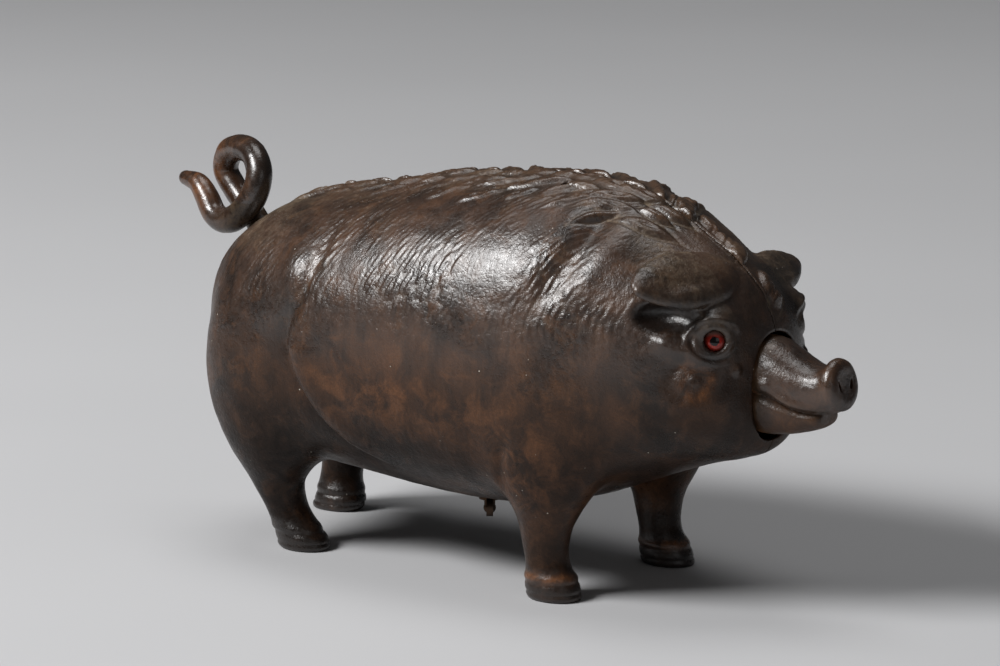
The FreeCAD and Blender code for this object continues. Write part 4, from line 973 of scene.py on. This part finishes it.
def patina(name, smooth=0.0):
    """Old dark-brown cast iron: rust, dust in the hollows, worn edges, a fine grain, and near-black
    darkening with painted shade.
    """
    m = Material(name)
    relief, dust, rust = m.attribute("relief"), m.attribute("dust"), m.attribute("rust")
    darkening_and_painted_shade, polish, inside = m.attribute("darkening_and_painted_shade"), m.attribute("polish"), m.attribute("inside")
    blotch = m.noise(62, 5.0, 0.62, 0.4)
    patch = m.noise(150, 6.0, 0.68, 0.6)
    grain = m.noise(2300, 2.0, 0.6)
    pits = m.noise(900, 3.0, 0.6)

    colour = m.mix(m.spread(blotch, 0.36, 0.64), DARK_BROWN, BROWN)
    colour = m.mix(m.spread(patch, 0.50, 0.70, 0.0, 0.70), colour, RUSTY_BROWN)
    streak = m.noise(110, 4.0, 0.6, 0.5, (1.0, 1.0, 0.28))
    colour = m.mix(m.spread(streak, 0.50, 0.66, 0.0, 0.55), colour, STREAK_BROWN)
    rusty = m.maths("MULTIPLY", m.spread(patch, 0.40, 0.60, 0.05, 1.0), m.spread(rust, 0.0, 0.8))
    colour = m.mix(rusty, colour, RUST)
    worn = m.maths("MULTIPLY", m.spread(relief, 0.18, 0.75), m.spread(pits, 0.35, 0.65, 0.3, 1.0))
    colour = m.mix(m.maths("MULTIPLY", worn, 0.55), colour, WORN_BROWN)
    sunk = m.spread(relief, -0.02, -0.28)
    dusty = m.maths("ADD", m.maths("MULTIPLY", sunk, 0.35), m.spread(dust, 0.05, 0.95, 0.0, 0.80))
    dusty = m.maths("MULTIPLY", dusty, m.spread(patch, 0.36, 0.60, 0.10, 1.0))
    dusty = m.maths("MULTIPLY", dusty, m.spread(pits, 0.40, 0.58, 0.45, 1.0))
    dusty = m.maths("MINIMUM", dusty, 0.85)
    colour = m.mix(dusty, colour, DUST)
    colour = m.mix(m.maths("MULTIPLY", m.spread(grain, 0.3, 0.7), 0.35), colour, PIT_BLACK)
    # Near-black mix: darker low down, on the head and at the rump's end, and painted shade under
    # the ear, in creases, on the nose's front face and at the tail's root.
    darkening_and_painted_shade_mask = m.maths("MULTIPLY", darkening_and_painted_shade, m.spread(patch, 0.35, 0.65, 1.0, 0.65))
    colour = m.mix(darkening_and_painted_shade_mask, colour, DARKENING_AND_PAINTED_SHADE)
    speck = m.maths("MULTIPLY", m.specks(270, 0.062), m.spread(m.noise(75, 2.0), 0.50, 0.58))
    colour = m.mix(speck, colour, SPECK)
    colour = m.mix(m.maths("MULTIPLY", inside, 0.7), colour, INSIDE)
    m.link(colour, m.shader.inputs["Base Color"])

    rough = m.spread(blotch, 0.3, 0.7, 0.26 - 0.02 * smooth, 0.40 - 0.08 * smooth)
    rough = m.maths("ADD", rough, m.maths("MULTIPLY", dusty, 0.26))
    rough = m.maths("ADD", rough, m.spread(pits, 0.3, 0.7, -0.06, 0.08))
    rough = m.maths("SUBTRACT", rough, m.maths("MULTIPLY", worn, 0.10))
    m.link(rough, m.shader.inputs["Roughness"])
    m.set(IOR=1.5)
    shine = m.spread(polish, 0.0, 1.0, 0.34, 0.95)
    shine = m.maths("SUBTRACT", shine, m.maths("MULTIPLY", darkening_and_painted_shade_mask, 0.22))
    m.link(shine, m.shader.inputs["Specular IOR Level"])
    fine = m.bump(grain, 0.00010, 0.60 - 0.30 * smooth)
    m.link(m.bump(pits, 0.00026, 0.55 - 0.25 * smooth, fine), m.shader.inputs["Normal"])
    return m.data


def metal(name, colour, stain, rough, streak=None):
    """Machined or cast metal: slight stains, fine marks and uneven polish."""
    m = Material(name)
    cloud = m.noise(130, 5.0, 0.6, 0.3)
    marks = m.noise(1400, 3.0, 0.6, 0.0, streak)
    shade = m.mix(m.spread(cloud, 0.42, 0.75, 0.0, 0.7), colour, stain)
    shade = m.mix(m.spread(marks, 0.35, 0.75, 0.0, 0.25), shade, stain)
    m.link(shade, m.shader.inputs["Base Color"])
    m.link(m.spread(cloud, 0.3, 0.7, rough - 0.07, rough + 0.14), m.shader.inputs["Roughness"])
    m.set(Metallic=1.0)
    m.link(m.bump(marks, 0.00004, 0.5), m.shader.inputs["Normal"])
    return m.data


def eye_glass():
    """Clear glass over a black pupil and a streaked red iris, its upper part paled as a painted
    highlight.
    """
    m = Material("eye_glass_painted")
    off_axis, height = m.attribute("off_axis"), m.attribute("height")
    flecks = m.noise(900, 4.0, 0.7)
    edge = m.maths("ADD", off_axis, m.spread(flecks, 0.3, 0.7, -0.05, 0.05))
    iris = m.mix(m.spread(flecks, 0.35, 0.7), (0.22, 0.008, 0.006), (0.50, 0.040, 0.024))
    iris = m.mix(m.spread(edge, 0.62, 0.86), iris, (0.16, 0.022, 0.014))
    # Painted highlight: the iris's upper part is paled.
    iris = m.mix(m.maths("MULTIPLY", m.spread(height, 0.35, 0.8), 0.55), iris, (0.42, 0.30, 0.25))
    iris = m.mix(m.spread(edge, 0.90, 0.98), iris, (0.02, 0.012, 0.009))
    colour = m.mix(m.spread(edge, 0.40, 0.46), (0.004, 0.003, 0.003), iris)
    m.link(colour, m.shader.inputs["Base Color"])
    m.link(m.spread(flecks, 0.2, 0.8, 0.03, 0.10), m.shader.inputs["Roughness"])
    m.set(IOR=1.52, Coat_Weight=0.25, Coat_Roughness=0.02, Specular_IOR_Level=0.35)
    return m.data


# -------- build
body_iron = patina("patinated_iron")
smooth_iron = patina("patinated_iron_smooth", smooth=1.0)
glass = eye_glass()

for side, suffix in ((1, "left"), (-1, "right")):
    half = body_half(side)
    half.data.materials.append(body_iron)
    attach(half, "body")
    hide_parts("body_half_" + suffix)
    eye = glass_eye(side)
    eye.data.materials.append(glass)
    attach(eye, "body")
    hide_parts("glass_eye_" + suffix)

for make, body, finish in ((snout, "snout", body_iron), (tail, "tail", smooth_iron)):
    piece = make()
    piece.data.materials.append(finish)
    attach(piece, body)
    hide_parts(body)

FINISHES = {
    "cast_iron": metal("screw_iron", (0.050, 0.036, 0.028), (0.085, 0.038, 0.018), 0.48),
    "bell_metal": metal("bell_bronze", (0.60, 0.46, 0.25), (0.30, 0.20, 0.10), 0.26),
    "brass": metal("aged_brass", (0.62, 0.42, 0.16), (0.28, 0.17, 0.07), 0.32, (1.0, 0.12, 1.0)),
    "steel": metal("dull_steel", (0.36, 0.35, 0.34), (0.15, 0.12, 0.10), 0.34, (0.15, 1.0, 1.0)),
    "key_iron": metal("key_iron", (0.055, 0.041, 0.032), (0.10, 0.050, 0.024), 0.42),
}
for entry in frame["record"]["subparts"]:
    finish = FINISHES.get(entry["material_slot"])
    if finish:
        node = frame["nodes"][entry["node"]]
        node.data.materials.clear()
        node.data.materials.append(finish)


# -------- floor, light and camera, in m
LIT_POINT = (0.0, 0.0, 0.06)
CAMERA_TARGET = np.array((0.0, 0.0, 0.062))
CAMERA_AZIMUTH, CAMERA_ELEVATION, CAMERA_DISTANCE = math.radians(38.0), math.radians(11.5), 1.2


def floor():
    """A wide pale disc under the pig."""
    turns, rings = 96, [0.3, 1.0, 3.0, 9.0]
    angles = [2 * math.pi * t / turns for t in range(turns)]
    points = [(0.0, 0.0, 0.0)]
    for r in rings:
        points += [(r * math.cos(angle), r * math.sin(angle), 0.0) for angle in angles]
    faces = [(0, 1 + t, 1 + (t + 1) % turns) for t in range(turns)]
    for ring in range(len(rings) - 1):
        a, b = 1 + ring * turns, 1 + (ring + 1) * turns
        faces += [(a + t, b + t, b + (t + 1) % turns, a + (t + 1) % turns) for t in range(turns)]
    mesh = bpy.data.meshes.new("floor")
    mesh.from_pydata(points, [], faces)
    disc = add_object("floor", mesh)
    m = Material("pale_paper")
    tone = m.mix(m.spread(m.noise(3.0, 2.0), 0.3, 0.7), (0.60, 0.60, 0.61), (0.63, 0.63, 0.64))
    m.link(tone, m.shader.inputs["Base Color"])
    m.set(Roughness=0.85)
    mesh.materials.append(m.data)


def soft_light(name, place, size, power):
    """A soft box that looks at the pig."""
    data = bpy.data.lights.new(name, "AREA")
    data.shape = "RECTANGLE"
    data.size, data.size_y = size
    data.energy = power
    aim(add_object(name, data), place, np.array(place) - np.array(LIT_POINT))


floor()
soft_light("key", (-0.82, -1.35, 1.45), (1.00, 0.50), 45)
soft_light("overhead", (-0.2, 0.25, 1.75), (0.9, 0.8), 7)
soft_light("fill", (1.7, -0.9, 0.9), (0.9, 0.9), 1.2)

world = bpy.data.worlds.new("studio")
bpy.context.scene.world = world
world.use_nodes = True
world.node_tree.nodes["Background"].inputs["Color"].default_value = (0.80, 0.81, 0.83, 1.0)
world.node_tree.nodes["Background"].inputs["Strength"].default_value = 0.06

level = math.cos(CAMERA_ELEVATION)
towards = np.array((math.sin(CAMERA_AZIMUTH) * level, -math.cos(CAMERA_AZIMUTH) * level,
                    math.sin(CAMERA_ELEVATION)))
camera_data = bpy.data.cameras.new("camera")
camera_data.lens, camera_data.sensor_width = 162.0, 36.0
camera = add_object("camera", camera_data)
aim(camera, CAMERA_TARGET + CAMERA_DISTANCE * towards, towards)
bpy.context.scene.camera = camera
bpy.context.scene.view_settings.view_transform = "Standard"
